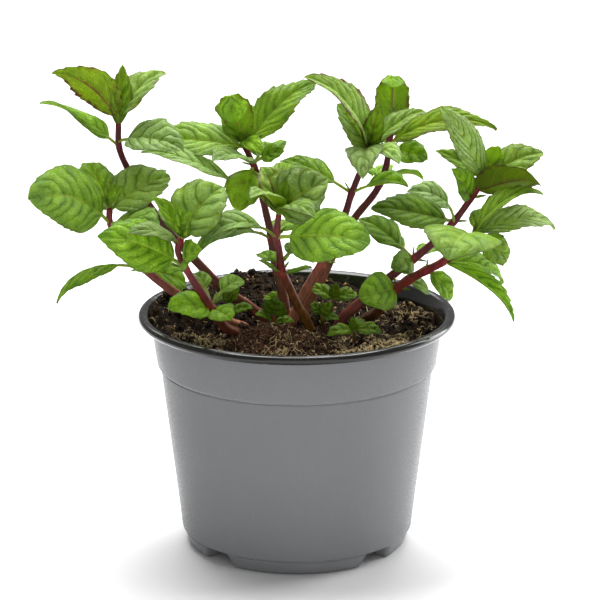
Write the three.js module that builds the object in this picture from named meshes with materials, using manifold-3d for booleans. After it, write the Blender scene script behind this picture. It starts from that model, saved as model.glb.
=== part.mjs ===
// A potted mint plant: a 13 cm grey herb pot with a black rolled rim, mounded potting soil,
// nine leafy stems and a few young shoots. Millimetres, +Z up, +Y away from the viewer.
// The origin is in the middle of the pot, on the surface that it stands on.
import * as THREE from "three";
import { mergeVertices } from "three/addons/utils/BufferGeometryUtils.js";
import Module from "manifold-3d";

const wasm = await Module();
wasm.setup();

// The pot
const RIM_RADIUS = 65;
const POT_HEIGHT = 98;
const FOOT_RADIUS = 43.9;
const FOOT_WIDTH = 4.4;
const FOOT_LIFT = 6;
const FLOOR_TOP = 7.3;
const WALL = 1.2;
const SHOULDER_HEIGHT = 76.8;
const SHOULDER_RADIUS = 57.2;
const BAND_TOP_RADIUS = 59.6;
const POT_SIDES = 36;
const NOTCH_HALF_ANGLE = THREE.MathUtils.degToRad(10.5);
const DRAIN_HOLES = 6;
const DRAIN_RADIUS = 3.5;
const DRAIN_CIRCLE = 30;
const DRAIN_SIDES = 10;

// The soil
const SOIL_TOP = 91;
const SOIL_RADIUS = 57.5;
const CLEARANCE = 0.35;
const SOIL_RINGS = 9;
const BANK_HEIGHT = 5.2;
const BANK_WIDTH = 10;
const HIGHEST_SOIL = 97.2;
// Its heaps and hollows: x, y, radius and height
const HEAPS = [
  [-7, -32, 14, 6],
  [-54, 14, 13, 2.4],
  [-15, 55, 11, 1.4],
  [46, -6, 19, -2],
  [-42, -32, 13, 2.2],
  [28, -38, 10, 1.5],
  [25, 36, 10, 1.6],
  [-34, 30, 10, 1.4],
  [4, 22, 10, -1.5],
];

// The plant
const BURIED = 13;
const STEM_BASE = 4.6;
const STEM_TOP = 2.4;
const SHOOT_BASE = 2.2;
const SHOOT_TOP = 1.5;
const BLADE_THICKNESS = 0.7;
const STALK_WIDTH = 1.6;
const STALK_THICKNESS = 1.2;
const TOOTH_DEPTH = 0.05;
const WIDEST_AT = 0.4;
const TIP_HALF_WIDTH = 0.5;
const LEAF_STEP = 4.8;
const FEWEST_LEAF_STEPS = 3;
const MOST_LEAF_STEPS = 8;
const STEM_STEP = 9;
const FEWEST_STEM_STEPS = 4;

// One leaf: its place on the stem as a share of the stem's length, where its tip is, how wide it is,
// and the way that its upper side faces. arch is how far it bows towards that side and sweep how far
// it bends sideways, as shares of its length; fold is how far each half is lifted, in degrees; stalk
// is the share of its length that is stalk; and full runs from 0, a lance, to 1, nearly round.
function leaf(at, tip, width, face, { arch = 0.2, sweep = 0, fold = 8, stalk = 0.08, full = 0.6 } = {}) {
  return { at, tip, width, face, arch, sweep, fold, stalk, full };
}

const STEMS = {
  far_left: {
    route: [
      [-14, 10, 91], [-30, 14, 103], [-41, 16, 114], [-54, 16, 129],
      [-63, 14, 143], [-69, 12, 155], [-72, 10, 164], [-72, 9, 175],
    ],
    leaves: [
      leaf(0.91, [-104, 13, 182], 12, [1, -1, 10], { arch: 0.12, fold: 4, stalk: 0.24, full: 0.5 }),
      leaf(0.98, [-45, -5, 166], 19, [1, -6, 8], { arch: 0.1, fold: 16, stalk: 0.06, full: 0.75 }),
      leaf(1.00, [-98, 4, 197], 18, [3, 8, 3], { arch: 0.05, sweep: -0.28, full: 0.5 }),
      leaf(1.00, [-53, 18, 193], 16, [-5, -5, 6], { arch: 0.25, fold: 12, stalk: 0.1, full: 0.4 }),
      leaf(1.00, [-70, 10, 198], 9, [2, -9, 3], { arch: 0.05, fold: 15, stalk: 0.05, full: 0.4 }),
      leaf(1.00, [-82, 34, 182], 13, [2, -2, 9], { fold: 10, stalk: 0.1, full: 0.5 }),
      leaf(0.24, [-34, 4, 100], 7, [0, -3, 9], { arch: 0.1, fold: 15, stalk: 0.2, full: 0.5 }),
      leaf(0.73, [-58, 44, 139], 16, [-3, -2, 9], { arch: 0.25, fold: 10, stalk: 0.2 }),
    ],
  },
  left: {
    route: [
      [-20, -6, 91], [-28, -6, 95], [-46, -6, 105], [-61, -7, 117],
      [-70, -8, 128], [-75, -8, 137], [-75, -8, 144],
    ],
    leaves: [
      leaf(0.67, [-97, -14, 105], 11, [-4, -2, 9], { arch: 0.46, fold: 34, stalk: 0.36, full: 0.35 }),
      leaf(0.67, [-45, 6, 107], 13, [1, -7, 7], { arch: 0.1, fold: 5, stalk: 0.15, full: 0.8 }),
      leaf(0.92, [-105, -36, 154], 27, [1, -8, 5],
        { arch: 0.08, sweep: 0.22, fold: -4, stalk: 0.13, full: 0.9 }),
      leaf(0.92, [-54, -26, 140], 17, [0, -4, 9], { arch: 0.15, stalk: 0.12 }),
      leaf(0.98, [-51, 0, 154], 21, [-3, -7, 6], { fold: 14 }),
      leaf(0.98, [-86, 12, 157], 14, [2, -6, 7], { arch: 0.15, stalk: 0.1, full: 0.7 }),
      leaf(1.00, [-75, -2, 155], 5.5, [2, -9, 3], { arch: 0.1, fold: 20, stalk: 0.05, full: 0.4 }),
      leaf(1.00, [-69, -14, 154], 5.5, [-3, -8, 5], { arch: 0.1, fold: 20, stalk: 0.05, full: 0.4 }),
      leaf(0.97, [-80, 24, 134], 14, [-2, 0, 9], { stalk: 0.1 }),
    ],
  },
  front_left: {
    route: [
      [-22, -16, 91], [-29, -20, 97], [-34, -24, 106], [-39, -27, 115],
      [-44, -29, 124], [-47, -30, 132], [-45, -30, 137],
    ],
    leaves: [
      leaf(0.49, [-51, -34, 109], 14, [0, -6, 8], { arch: 0.12, fold: 6, stalk: 0.1, full: 0.8 }),
      leaf(0.49, [-26, -34, 104], 11, [0, -6, 8], { arch: 0.1, fold: 6, stalk: 0.1, full: 0.8 }),
      leaf(0.50, [-21, -18, 116], 10, [-1, -4, 9], { arch: 0.35, fold: 10, stalk: 0.4, full: 0.7 }),
      leaf(0.50, [-41, -14, 118], 8, [1, -4, 9], { arch: 0.3, fold: 10, stalk: 0.45, full: 0.7 }),
      leaf(0.80, [-78, -40, 140], 21, [-1, -8, 6], { arch: 0.1, sweep: 0.1, fold: -4, stalk: 0.16 }),
      leaf(0.80, [-37, -42, 135], 13, [2, -7, 6], { arch: 0.3, fold: 10, stalk: 0.2, full: 0.7 }),
      leaf(0.96, [-66, -40, 141], 13, [-1, -3, 9], { fold: 6, stalk: 0.05 }),
      leaf(1.00, [-57, -36, 155], 9, [4, -6, 5], { arch: 0.12, fold: 25, stalk: 0.05, full: 0.4 }),
      leaf(1.00, [-29, -24, 156], 25, [-4, -7, 5], { arch: 0.22, fold: 10, full: 0.9 }),
      leaf(1.00, [-47, -40, 153], 7, [2, -8, 4], { arch: 0.1, fold: 20, stalk: 0.05, full: 0.4 }),
      leaf(1.00, [-40, -42, 151], 7, [-3, -8, 4], { arch: 0.1, fold: 20, stalk: 0.05, full: 0.4 }),
      leaf(0.99, [-52, -8, 143], 14, [2, -3, 9], { stalk: 0.1 }),
    ],
  },
  centre: {
    route: [
      [6, -10, 91], [0, -14, 105], [-4, -17, 115], [-6, -18, 120],
      [-7, -20, 129], [-8, -21, 135], [-7, -22, 145],
    ],
    leaves: [
      leaf(0.63, [-15, -24, 126], 6, [1, -2, 9], { arch: -0.1, fold: 10, stalk: 0.1, full: 0.4 }),
      leaf(0.63, [6, -28, 124], 6.5, [0, -2, 9], { arch: -0.1, fold: 10, stalk: 0.1, full: 0.4 }),
      leaf(0.68, [-16, -8, 124], 8, [1, -3, 9], { arch: 0.1, fold: 10, stalk: 0.2, full: 0.5 }),
      leaf(0.68, [3, -6, 126], 9, [-1, -3, 9], { arch: 0.3, fold: 10, stalk: 0.35, full: 0.5 }),
      leaf(0.85, [29, -38, 137], 23, [0, -8, 6], { arch: 0.14, fold: 4, stalk: 0.16, full: 0.95 }),
      leaf(0.85, [-38, -36, 136], 15, [-1, -3, 9], { arch: 0.42, fold: 15, stalk: 0.22, full: 0.5 }),
      leaf(0.90, [2, -6, 139], 6, [0, -3, 9], { arch: 0.1, fold: 10, stalk: 0.4, full: 0.5 }),
      leaf(0.99, [-14, -14, 162], 17, [5, -7, 4], { arch: 0.12, fold: 20, stalk: 0.05 }),
      leaf(0.99, [12, -24, 159], 23, [-2, -8, 5], { fold: 12, stalk: 0.05, full: 0.7 }),
      leaf(1.00, [-4, -24, 159], 6.5, [-1, -9, 3], { arch: 0.1, fold: 20, stalk: 0.05, full: 0.4 }),
      leaf(0.99, [-18, -46, 157], 13, [0, -3, 9], { arch: 0.25, fold: 6, stalk: 0.06 }),
      leaf(0.99, [7, -46, 149], 13, [0, -3, 9], { arch: 0.25, fold: 6, stalk: 0.06 }),
      leaf(0.99, [-4, 0, 160], 14, [0, -6, 6], { fold: 12, stalk: 0.06 }),
    ],
  },
  tall_left: {
    route: [
      [-4, 8, 91], [-6, 12, 103], [-9, 15, 114], [-11, 17, 127],
      [-13, 18, 136], [-16, 19, 150], [-19, 20, 157], [-22, 20, 164],
    ],
    leaves: [
      leaf(0.53, [-42, 0, 121], 13, [-1, -3, 9], { arch: 0.4, fold: 14, stalk: 0.22, full: 0.5 }),
      leaf(0.53, [1, 36, 123], 14, [-1, -2, 9], { arch: 0.25, stalk: 0.25 }),
      leaf(0.88, [-24, 6, 138], 16, [-2, -9, 3], { arch: 0.1, fold: 5, stalk: 0.12, full: 0.7 }),
      leaf(0.89, [-34, -6, 162], 14, [-1, -5, 8], { arch: 0.15, fold: 6, stalk: 0.06, full: 0.7 }),
      leaf(0.89, [-5, 16, 161], 8.5, [0, -6, 7], { arch: 0.15, fold: 12, stalk: 0.32 }),
      leaf(0.88, [-6, 50, 153], 14, [-2, -1, 9], { arch: 0.25, stalk: 0.2 }),
      leaf(0.98, [-27, 12, 184.5], 16, [1, 9, 3], { arch: 0.1, fold: 12, stalk: 0.05, full: 0.9 }),
      leaf(1.00, [-29, 26, 178], 14.5, [1, -9, 3], { arch: 0.1, stalk: 0.05, full: 0.9 }),
      leaf(0.97, [8, 32, 186], 16, [-3, -7, 6], { arch: 0.25, fold: 10, stalk: 0.06, full: 0.5 }),
      leaf(1.00, [-14, 8, 162], 8, [2, -8, 4], { arch: 0.3, stalk: 0.05, full: 0.9 }),
      leaf(0.97, [-61, 26, 161], 18, [0, -6, 8], { arch: 0.14, stalk: 0.06, full: 0.5 }),
      leaf(0.72, [-63, 6, 163], 13, [-1, -3, 9], { arch: 0.1, fold: 10, stalk: 0.3, full: 0.5 }),
      leaf(0.99, [-16, 50, 171], 14, [-1, -3, 9], { arch: 0.25, stalk: 0.06, full: 0.5 }),
    ],
  },
  tall_right: {
    route: [
      [-2, 2, 92], [1, 4, 100], [7, 5, 111], [15, 6, 124],
      [20, 6, 138], [22, 6, 145], [26, 5, 156], [29, 4, 165],
    ],
    leaves: [
      leaf(0.43, [0, -2, 122], 5.5, [0, -3, 9], { arch: 0.3, fold: 10, stalk: 0.3, full: 0.5 }),
      leaf(0.43, [19, 20, 116], 8, [0, -3, 9], { fold: 10, stalk: 0.3, full: 0.5 }),
      leaf(0.78, [-7, 12, 158], 15, [0, -2, 9], { arch: 0.1, fold: 10, stalk: 0.26, full: 0.4 }),
      leaf(0.78, [45, -4, 151], 12, [0, -2, 9], { fold: 28, stalk: 0.3, full: 0.5 }),
      leaf(0.99, [26, -24, 159], 15, [-1, -4, 9], { arch: 0.3, fold: 12, stalk: 0.06 }),
      leaf(0.99, [41, -14, 163], 12, [1, -4, 9], { fold: 12, stalk: 0.06 }),
      leaf(0.99, [3, -6, 196.5], 16, [5, -5, 6], { arch: 0.28, fold: 28, stalk: 0.05, full: 0.7 }),
      leaf(1.00, [16, 0, 184], 14, [3, -8, 4], { arch: 0.1, fold: 20, stalk: 0.05, full: 0.7 }),
      leaf(1.00, [33, -4, 186], 8.5, [0, -9, 2], { arch: 0.05, fold: 15, stalk: 0.04, full: 0.5 }),
      leaf(1.00, [52, 10, 179], 10, [-3, -5, 8], { arch: 0.15, fold: 18, stalk: 0.06, full: 0.4 }),
      leaf(0.99, [21, 32, 171], 14, [2, -2, 9], { arch: 0.25, stalk: 0.06, full: 0.5 }),
    ],
  },
  back_right: {
    route: [
      [2, 16, 90], [9, 20, 103], [17, 24, 119], [24, 27, 130],
      [33, 30, 141], [37, 32, 151], [38, 33, 160], [40, 34, 170],
    ],
    leaves: [
      leaf(0.74, [53, 36, 144], 11, [0, 3, 9], { arch: 0.35, stalk: 0.2, full: 0.5 }),
      leaf(0.74, [32, 60, 140], 14, [0, -1, 9], { arch: 0.25, stalk: 0.2 }),
      leaf(0.88, [54, 26, 155], 12, [0, -6, 7], { arch: 0.12, stalk: 0.2, full: 0.7 }),
      leaf(0.90, [82, 24, 168], 14, [0, -5, 8], { arch: 0.34, fold: 10, stalk: 0.06, full: 0.35 }),
      leaf(0.95, [40, 42, 187], 14, [0, 9, 2], { arch: 0.08, fold: 12, stalk: 0.05, full: 0.8 }),
      leaf(0.90, [23, 46, 165], 13, [2, -3, 9], { fold: 10, stalk: 0.06, full: 0.5 }),
      leaf(0.92, [49, 60, 164], 14, [-1, -2, 9], { arch: 0.25, stalk: 0.06, full: 0.5 }),
    ],
  },
  right_low: {
    route: [
      [28, 6, 92], [32, 2, 96], [41, -4, 109], [50, -8, 116],
      [59, -12, 122], [66, -15, 129], [71, -16, 135],
    ],
    leaves: [
      leaf(0.46, [25, -18, 109], 16, [1, -9, 4], { arch: 0.05, fold: 4, stalk: 0.06, full: 1 }),
      leaf(0.54, [54, 4, 104], 8, [0, -6, 7], { arch: 0.1, stalk: 0.1, full: 0.7 }),
      leaf(0.66, [62, -8, 104], 10, [5, -6, 5], { arch: 0.28, stalk: 0.12, full: 0.7 }),
      leaf(0.77, [87, -26, 101], 10, [3, -3, 9], { arch: 0.18, fold: 34, stalk: 0.05, full: 0.3 }),
      leaf(0.77, [84, 6, 107], 11, [2, -5, 8], { arch: 0.28, fold: 14, stalk: 0.06, full: 0.4 }),
      leaf(1.00, [99, -8, 149], 11, [-3, -3, 9], { arch: 0.34, fold: 22, stalk: 0.05, full: 0.3 }),
      leaf(0.99, [105, 4, 131], 13, [0, -5, 8], { arch: 0.32, fold: 10, stalk: 0.05, full: 0.35 }),
      leaf(0.98, [59, -46, 132], 31, [0, -4, 9], { arch: 0.27, fold: 4, full: 1 }),
      leaf(0.98, [85, -10, 122], 12, [2, -8, 5], { fold: 6, stalk: 0.2, full: 0.9 }),
      leaf(0.99, [87, 17, 132], 14, [-2, -2, 9], { arch: 0.25, stalk: 0.1 }),
    ],
  },
  right_high: {
    route: [
      [17, 0, 92], [26, 2, 101], [38, 4, 111], [48, 4, 119],
      [55, 4, 125], [64, 3, 135], [70, 2, 144], [76, 1, 154],
    ],
    leaves: [
      leaf(0.54, [38, -10, 119], 10, [0, -9, 3], { arch: 0.1, fold: 4, stalk: 0.1, full: 1 }),
      leaf(0.54, [25, 14, 133], 14, [0, -4, 9], { arch: 0.15, stalk: 0.28 }),
      leaf(0.54, [31, 26, 125], 9, [0, -2, 9], { arch: 0.1, fold: 16, stalk: 0.25, full: 0.5 }),
      leaf(0.54, [59, 22, 118], 8, [0, -3, 9], { arch: 0.15, fold: 10, stalk: 0.2 }),
      leaf(0.77, [30, 0, 141], 17, [1, -6, 8], { arch: 0.05, fold: 6, stalk: 0.1 }),
      leaf(0.77, [44, -12, 151], 12, [1, -6, 8], { arch: 0.38, fold: 10, stalk: 0.34 }),
      leaf(0.89, [62, -10, 160], 11, [3, -8, 4], { arch: 0.1, fold: 12, stalk: 0.05, full: 0.5 }),
      leaf(0.99, [57, -4, 184], 13.5, [3, -8, 5], { arch: 0.12, full: 0.4 }),
      leaf(0.99, [56, 8, 163], 8, [2, -6, 7], { arch: 0.1, fold: 14, full: 0.4 }),
      leaf(0.99, [100, 8, 162], 14, [-2, -7, 7], { fold: 10 }),
      leaf(0.99, [81, 0, 167], 9, [0, 9, 2], { arch: 0.1, fold: 14, stalk: 0.06 }),
      leaf(0.93, [96, -18, 156], 19, [0, 7, 5], { arch: 0.12, fold: 10, stalk: 0.03, full: 0.9 }),
      leaf(0.99, [73, 34, 153], 13, [0, -1, 9], { arch: 0.25 }),
    ],
  },
};

// Young shoots that have only just come up out of the soil
const SHOOTS = {
  shoot_front: {
    route: [[-10, -5, 92], [-9.5, -5, 97], [-9, -4, 103]],
    leaves: [
      leaf(0.62, [-1, -10, 96], 4.5, [0, -5, 9], { arch: 0.2, fold: 12 }),
      leaf(0.66, [-17, -9, 99], 4.5, [0, -5, 9], { arch: 0.2, fold: 12 }),
      leaf(0.75, [-8, -8, 105.5], 10, [-1, -9, 3], { arch: 0.1, full: 0.85 }),
      leaf(1.00, [-12, -1, 105], 6, [3, -8, 3], { arch: 0.1, fold: 20, full: 0.7 }),
    ],
  },
  shoot_middle: {
    route: [[13, 8, 92], [14, 9, 96], [15, 10, 100]],
    leaves: [
      leaf(1.00, [5, 13, 104], 7, [1, -5, 8], { arch: 0.2, fold: 10 }),
      leaf(1.00, [25, 12, 101], 7.5, [-1, -5, 8], { arch: 0.2, fold: 10 }),
      leaf(1.00, [16, 6, 108], 4.5, [0, -9, 2], { arch: 0.1, fold: 18 }),
    ],
  },
  shoot_right: {
    route: [[11, -5, 92], [10.5, -6, 95], [10, -7, 98]],
    leaves: [
      leaf(1.00, [14, -9, 104], 5, [-1, -8, 4], { arch: 0.1, fold: 14 }),
      leaf(1.00, [6, -6, 103], 4.5, [2, -8, 4], { arch: 0.1, fold: 14 }),
      leaf(0.90, [17, -13, 98], 5, [-1, -5, 8], { arch: 0.2, fold: 10 }),
    ],
  },
  shoot_front_right: {
    route: [[23, -24, 91], [23, -24, 94.5], [23, -24.5, 97]],
    leaves: [
      leaf(1.00, [34, -27, 96.5], 6.5, [-1, -5, 8], { arch: 0.25, fold: 10 }),
      leaf(1.00, [12, -30, 96.5], 6, [1, -5, 8], { arch: 0.2, fold: 10 }),
      leaf(1.00, [26, -16, 99], 5, [0, -2, 9], { arch: 0.2, fold: 10 }),
      leaf(1.00, [22, -27, 103], 3.5, [0, -8, 4], { arch: 0.1, fold: 18 }),
    ],
  },
  shoot_left: {
    route: [[-27, 4, 92], [-27, 4, 96], [-27.5, 3.5, 100]],
    leaves: [
      leaf(0.80, [-18, 0, 99], 5.5, [0, -5, 8], { arch: 0.2, fold: 10 }),
      leaf(0.80, [-33, 0.5, 97.5], 4.5, [0, -5, 8], { arch: 0.2, fold: 10 }),
      leaf(1.00, [-30, 2, 107], 4.5, [2, -8, 4], { arch: 0.1, fold: 16 }),
      leaf(1.00, [-24, 6, 107], 4.5, [-2, -8, 4], { arch: 0.1, fold: 16 }),
    ],
  },
};

// Solids

const SAME_POINT = 1e-4;

function solidOf(geometry) {
  const bare = geometry.clone();
  bare.deleteAttribute("normal");
  bare.deleteAttribute("uv");
  const merged = mergeVertices(bare, SAME_POINT);
  const vertProperties = new Float32Array(merged.attributes.position.array);
  const triVerts = new Uint32Array(merged.index.array);
  return new wasm.Manifold(new wasm.Mesh({ numProp: 3, vertProperties, triVerts }));
}

function geometryOf(solid) {
  const mesh = solid.getMesh();
  const geometry = new THREE.BufferGeometry();
  geometry.setAttribute("position", new THREE.BufferAttribute(new Float32Array(mesh.vertProperties), 3));
  geometry.setIndex(new THREE.BufferAttribute(new Uint32Array(mesh.triVerts), 1));
  geometry.computeVertexNormals();
  return geometry;
}

// Joined parts as one body, with any loose scrap dropped and any sealed hollow filled.
function joined(parts) {
  const whole = parts.reduce((sum, part) => sum.add(part));
  const bodies = whole.decompose();
  return bodies.reduce((best, body) => (body.volume() > best.volume() ? body : best));
}

// A closed skin over rings of points, which run right-handed about the way that the rings go.
// leans says, for each side of the ring, which diagonal splits its quads.
function loft(rings, leans) {
  const count = rings[0].length;
  const positions = rings.flat().flatMap((point) => point.toArray());
  const faces = [];
  for (let i = 0; i + 1 < rings.length; i += 1) {
    for (let j = 0; j < count; j += 1) {
      const a = i * count + j;
      const b = i * count + (j + 1) % count;
      const c = b + count;
      const d = a + count;
      if (leans[j % leans.length]) {
        faces.push(a, b, d, b, c, d);
      } else {
        faces.push(a, b, c, a, c, d);
      }
    }
  }
  const last = (rings.length - 1) * count;
  for (let j = 2; j < count; j += 1) {
    const near = 1 + j - 1;
    const far = (1 + j) % count;
    faces.push(1, far, near);
    faces.push(last + 1, last + near, last + far);
  }
  const geometry = new THREE.BufferGeometry();
  geometry.setAttribute("position", new THREE.Float32BufferAttribute(positions, 3));
  geometry.setIndex(faces);
  return geometry;
}

// The pot

// The inside wall's radius at a height, from the floor up to the lip.
const LIP_FOOT = 93;
const INSIDE = [
  [FLOOR_TOP, 46], [75.4, 54.6], [SHOULDER_HEIGHT, 56], [LIP_FOOT, 58.3], [97.2, 60.6],
];

function insideRadius(height) {
  const above = Math.max(1, INSIDE.findIndex(([z]) => z >= height));
  const [lowZ, lowR] = INSIDE[above - 1];
  const [highZ, highR] = INSIDE[above];
  return THREE.MathUtils.lerp(lowR, highR, (height - lowZ) / (highZ - lowZ));
}

function pot() {
  const footInside = FOOT_RADIUS - FOOT_WIDTH;
  const outline = [
    [0, FLOOR_TOP - WALL],
    [footInside, FLOOR_TOP - WALL],
    [footInside, 0],
    [FOOT_RADIUS, 0],
    [FOOT_RADIUS + 1.2, 1],
    [FOOT_RADIUS + 2.7, 5.8],
    [FOOT_RADIUS + 3.6, 6.6],
    [SHOULDER_RADIUS - 1.4, SHOULDER_HEIGHT - 1.5],
    [SHOULDER_RADIUS, SHOULDER_HEIGHT],
    [BAND_TOP_RADIUS, 93.9],
    [RIM_RADIUS - 1.4, 94.3],
    [RIM_RADIUS, 96],
    [RIM_RADIUS - 0.6, 97.4],
    [RIM_RADIUS - 1.8, POT_HEIGHT],
    [RIM_RADIUS - 3.2, 97.9],
    ...INSIDE.map(([z, r]) => [r, z]).reverse(),
    [0, FLOOR_TOP],
  ];
  const points = outline.map(([r, z]) => new THREE.Vector2(r, z));
  const body = solidOf(new THREE.LatheGeometry(points, POT_SIDES).rotateX(Math.PI / 2));
  const cuts = [];
  for (let i = 0; i < 4; i += 1) {
    cuts.push(solidOf(notch().rotateZ((i + 0.5) * Math.PI / 2)));
  }
  for (let i = 0; i < DRAIN_HOLES; i += 1) {
    const turn = i * 2 * Math.PI / DRAIN_HOLES;
    cuts.push(solidOf(drain().translate(DRAIN_CIRCLE, 0, 0).rotateZ(turn)));
  }
  cuts.push(solidOf(drain()));
  return cuts.reduce((rest, cut) => rest.subtract(cut), body);
}

// The gap between two feet: a wedge that narrows upwards.
function notch() {
  const inner = FOOT_RADIUS - 2 * FOOT_WIDTH;
  const outer = FOOT_RADIUS + 8;
  const ring = (z, half) => [[inner, -half], [outer, -half], [outer, half], [inner, half]]
    .map(([r, side]) => new THREE.Vector3(r, r * Math.tan(side), z));
  return loft([ring(-1, NOTCH_HALF_ANGLE * 1.15), ring(FOOT_LIFT, NOTCH_HALF_ANGLE * 0.95)], [false]);
}

function drain() {
  const depth = 5 * WALL;
  return new THREE.CylinderGeometry(DRAIN_RADIUS, DRAIN_RADIUS, depth, DRAIN_SIDES)
    .rotateX(Math.PI / 2)
    .translate(0, 0, FLOOR_TOP - WALL / 2);
}

// The soil

function bump(x, y, radius) {
  return Math.exp(-(x * x + y * y) / (radius * radius));
}

// The soil's top: small clods, the heaps, and a bank that rises to the wall at the back and the left.
function soilHeight(x, y) {
  const clods = 0.7 * Math.sin(0.35 * x + 1.3) * Math.cos(0.31 * y) + 0.5 * Math.sin(0.4 * y - 0.3 * x);
  const heaps = HEAPS.reduce(
    (sum, [hx, hy, radius, height]) => sum + height * bump(x - hx, y - hy, radius),
    0,
  );
  const backLeft = THREE.MathUtils.smoothstep((0.6 * y - 0.8 * x) / SOIL_RADIUS, 0, 0.6);
  const nearWall = bump(SOIL_RADIUS - Math.hypot(x, y), 0, BANK_WIDTH);
  return Math.min(SOIL_TOP + clods + heaps + BANK_HEIGHT * backLeft * nearWall, HIGHEST_SOIL);
}

function soilBlock() {
  const ring = (place) => Array.from({ length: POT_SIDES }, (_, i) => place(2 * Math.PI * i / POT_SIDES));
  const beside = (turn, height) => {
    const r = insideRadius(height) - CLEARANCE;
    return new THREE.Vector3(r * Math.cos(turn), r * Math.sin(turn), height);
  };
  const edgeHeight = (turn) => soilHeight(SOIL_RADIUS * Math.cos(turn), SOIL_RADIUS * Math.sin(turn));
  const top = (share) => ring((turn) => {
    const x = SOIL_RADIUS * share * Math.cos(turn);
    const y = SOIL_RADIUS * share * Math.sin(turn);
    return new THREE.Vector3(x, y, soilHeight(x, y));
  });
  const rings = [
    ring((turn) => beside(turn, FLOOR_TOP + CLEARANCE)),
    ring((turn) => beside(turn, SHOULDER_HEIGHT - 1.6)),
    ring((turn) => beside(turn, Math.min(edgeHeight(turn) - 1.5, LIP_FOOT - CLEARANCE))),
    ring((turn) => beside(turn, edgeHeight(turn))),
  ];
  for (let i = 1; i < SOIL_RINGS; i += 1) {
    rings.push(top(1 - i / SOIL_RINGS));
  }
  rings.push(top(0.02));
  return solidOf(loft(rings, [false]));
}

// The plant

function stemCurve({ route }) {
  const [x, y, z] = route[0];
  const points = [[x, y, z - BURIED], ...route].map((point) => new THREE.Vector3(...point));
  return new THREE.CatmullRomCurve3(points, false, "centripetal");
}

// A square stem that thins upwards. spare makes it wider, for the hole that it stands in.
function stemTube(curve, base, top, spare) {
  const steps = Math.max(FEWEST_STEM_STEPS, Math.round(curve.getLength() / STEM_STEP));
  const frames = curve.computeFrenetFrames(steps, false);
  const rings = [];
  for (let i = 0; i <= steps; i += 1) {
    const half = THREE.MathUtils.lerp(base, top, i / steps) / 2 + spare;
    const centre = curve.getPointAt(i / steps);
    const ring = [[1, 1], [-1, 1], [-1, -1], [1, -1]].map(([a, b]) => centre.clone()
      .addScaledVector(frames.normals[i], a * half)
      .addScaledVector(frames.binormals[i], b * half));
    rings.push(ring);
  }
  return solidOf(loft(rings, [false]));
}

// Half a leaf blade's width, along the blade from 0 to 1.
function halfWidth({ width, full }, along) {
  const skew = Math.log(0.5) / Math.log(WIDEST_AT);
  return width / 2 * Math.sin(Math.PI * along ** skew) ** (1.05 - 0.45 * full);
}

// A leaf: a short stalk and a thin toothed blade along an arched rib. Each ring has the left edge,
// the rib and the right edge on the upper side, and the same three on the underside.
function leafSolid(curve, form) {
  const base = curve.getPointAt(form.at);
  const tip = new THREE.Vector3(...form.tip);
  const chord = tip.clone().sub(base);
  const length = chord.length();
  const ahead = chord.clone().normalize();
  const up = new THREE.Vector3(...form.face).projectOnPlane(ahead).normalize();
  const side = ahead.clone().cross(up);
  const crest = base.clone().lerp(tip, 0.5)
    .addScaledVector(up, form.arch * length)
    .addScaledVector(side, form.sweep * length);
  const rib = new THREE.QuadraticBezierCurve3(base, crest, tip);
  const fold = THREE.MathUtils.degToRad(form.fold);
  const steps = THREE.MathUtils.clamp(Math.round(length / LEAF_STEP), FEWEST_LEAF_STEPS, MOST_LEAF_STEPS);
  const rings = [];
  const ringAt = (share, half, thickness) => {
    const middle = rib.getPoint(share);
    const along = rib.getTangent(share);
    const across = along.clone().cross(up).normalize();
    const above = across.clone().cross(along).normalize();
    const lift = above.clone().multiplyScalar(thickness / 2 / Math.cos(fold));
    const left = middle.clone()
      .addScaledVector(across, -half * Math.cos(fold))
      .addScaledVector(above, half * Math.sin(fold));
    const right = middle.clone()
      .addScaledVector(across, half * Math.cos(fold))
      .addScaledVector(above, half * Math.sin(fold));
    const upper = [left, middle, right].map((point) => point.clone().add(lift));
    const lower = [right, middle, left].map((point) => point.clone().sub(lift));
    rings.push([...upper, ...lower]);
  };
  ringAt(0, STALK_WIDTH / 2, STALK_THICKNESS);
  for (let i = 0; i <= steps; i += 1) {
    const along = i / steps;
    const tooth = i === steps ? 0 : (i % 2 ? TOOTH_DEPTH : -TOOTH_DEPTH);
    const half = Math.max(halfWidth(form, along) * (1 + tooth), i ? TIP_HALF_WIDTH : STALK_WIDTH / 2);
    const share = form.stalk + (1 - form.stalk) * along;
    ringAt(share, half, i ? BLADE_THICKNESS : STALK_THICKNESS);
  }
  return solidOf(loft(rings, [true, false, true, true, false, true]));
}

function leafyStem(plant, base, top) {
  const curve = stemCurve(plant);
  const leaves = plant.leaves.map((form) => leafSolid(curve, form));
  return joined([stemTube(curve, base, top, 0), ...leaves]);
}

// The whole

function finish(colour, roughness) {
  return new THREE.MeshStandardMaterial({ color: colour, roughness, metalness: 0 });
}

const plant = new THREE.Group();

function add(name, solid, material) {
  const mesh = new THREE.Mesh(geometryOf(solid), material);
  mesh.name = name;
  plant.add(mesh);
}

add("pot", pot(), finish(0x7d8084, 0.45));

const green = finish(0x5f8f3c, 0.6);
let soil = soilBlock();
for (const [name, stem] of Object.entries(STEMS)) {
  add(`stem_${name}`, leafyStem(stem, STEM_BASE, STEM_TOP), green);
  soil = soil.subtract(stemTube(stemCurve(stem), STEM_BASE, STEM_TOP, CLEARANCE));
}
for (const [name, shoot] of Object.entries(SHOOTS)) {
  add(name, leafyStem(shoot, SHOOT_BASE, SHOOT_TOP), green);
  soil = soil.subtract(stemTube(stemCurve(shoot), SHOOT_BASE, SHOOT_TOP, CLEARANCE));
}
add("potting_soil", soil, finish(0x3a2a20, 0.95));

export default plant;
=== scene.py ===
"""A potted mint plant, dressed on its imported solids. Lengths are in millimetres, apart from those
of the floor, the lights and the camera, which are in metres."""
import math

import bpy
import numpy as np
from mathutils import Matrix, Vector, noise


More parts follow.
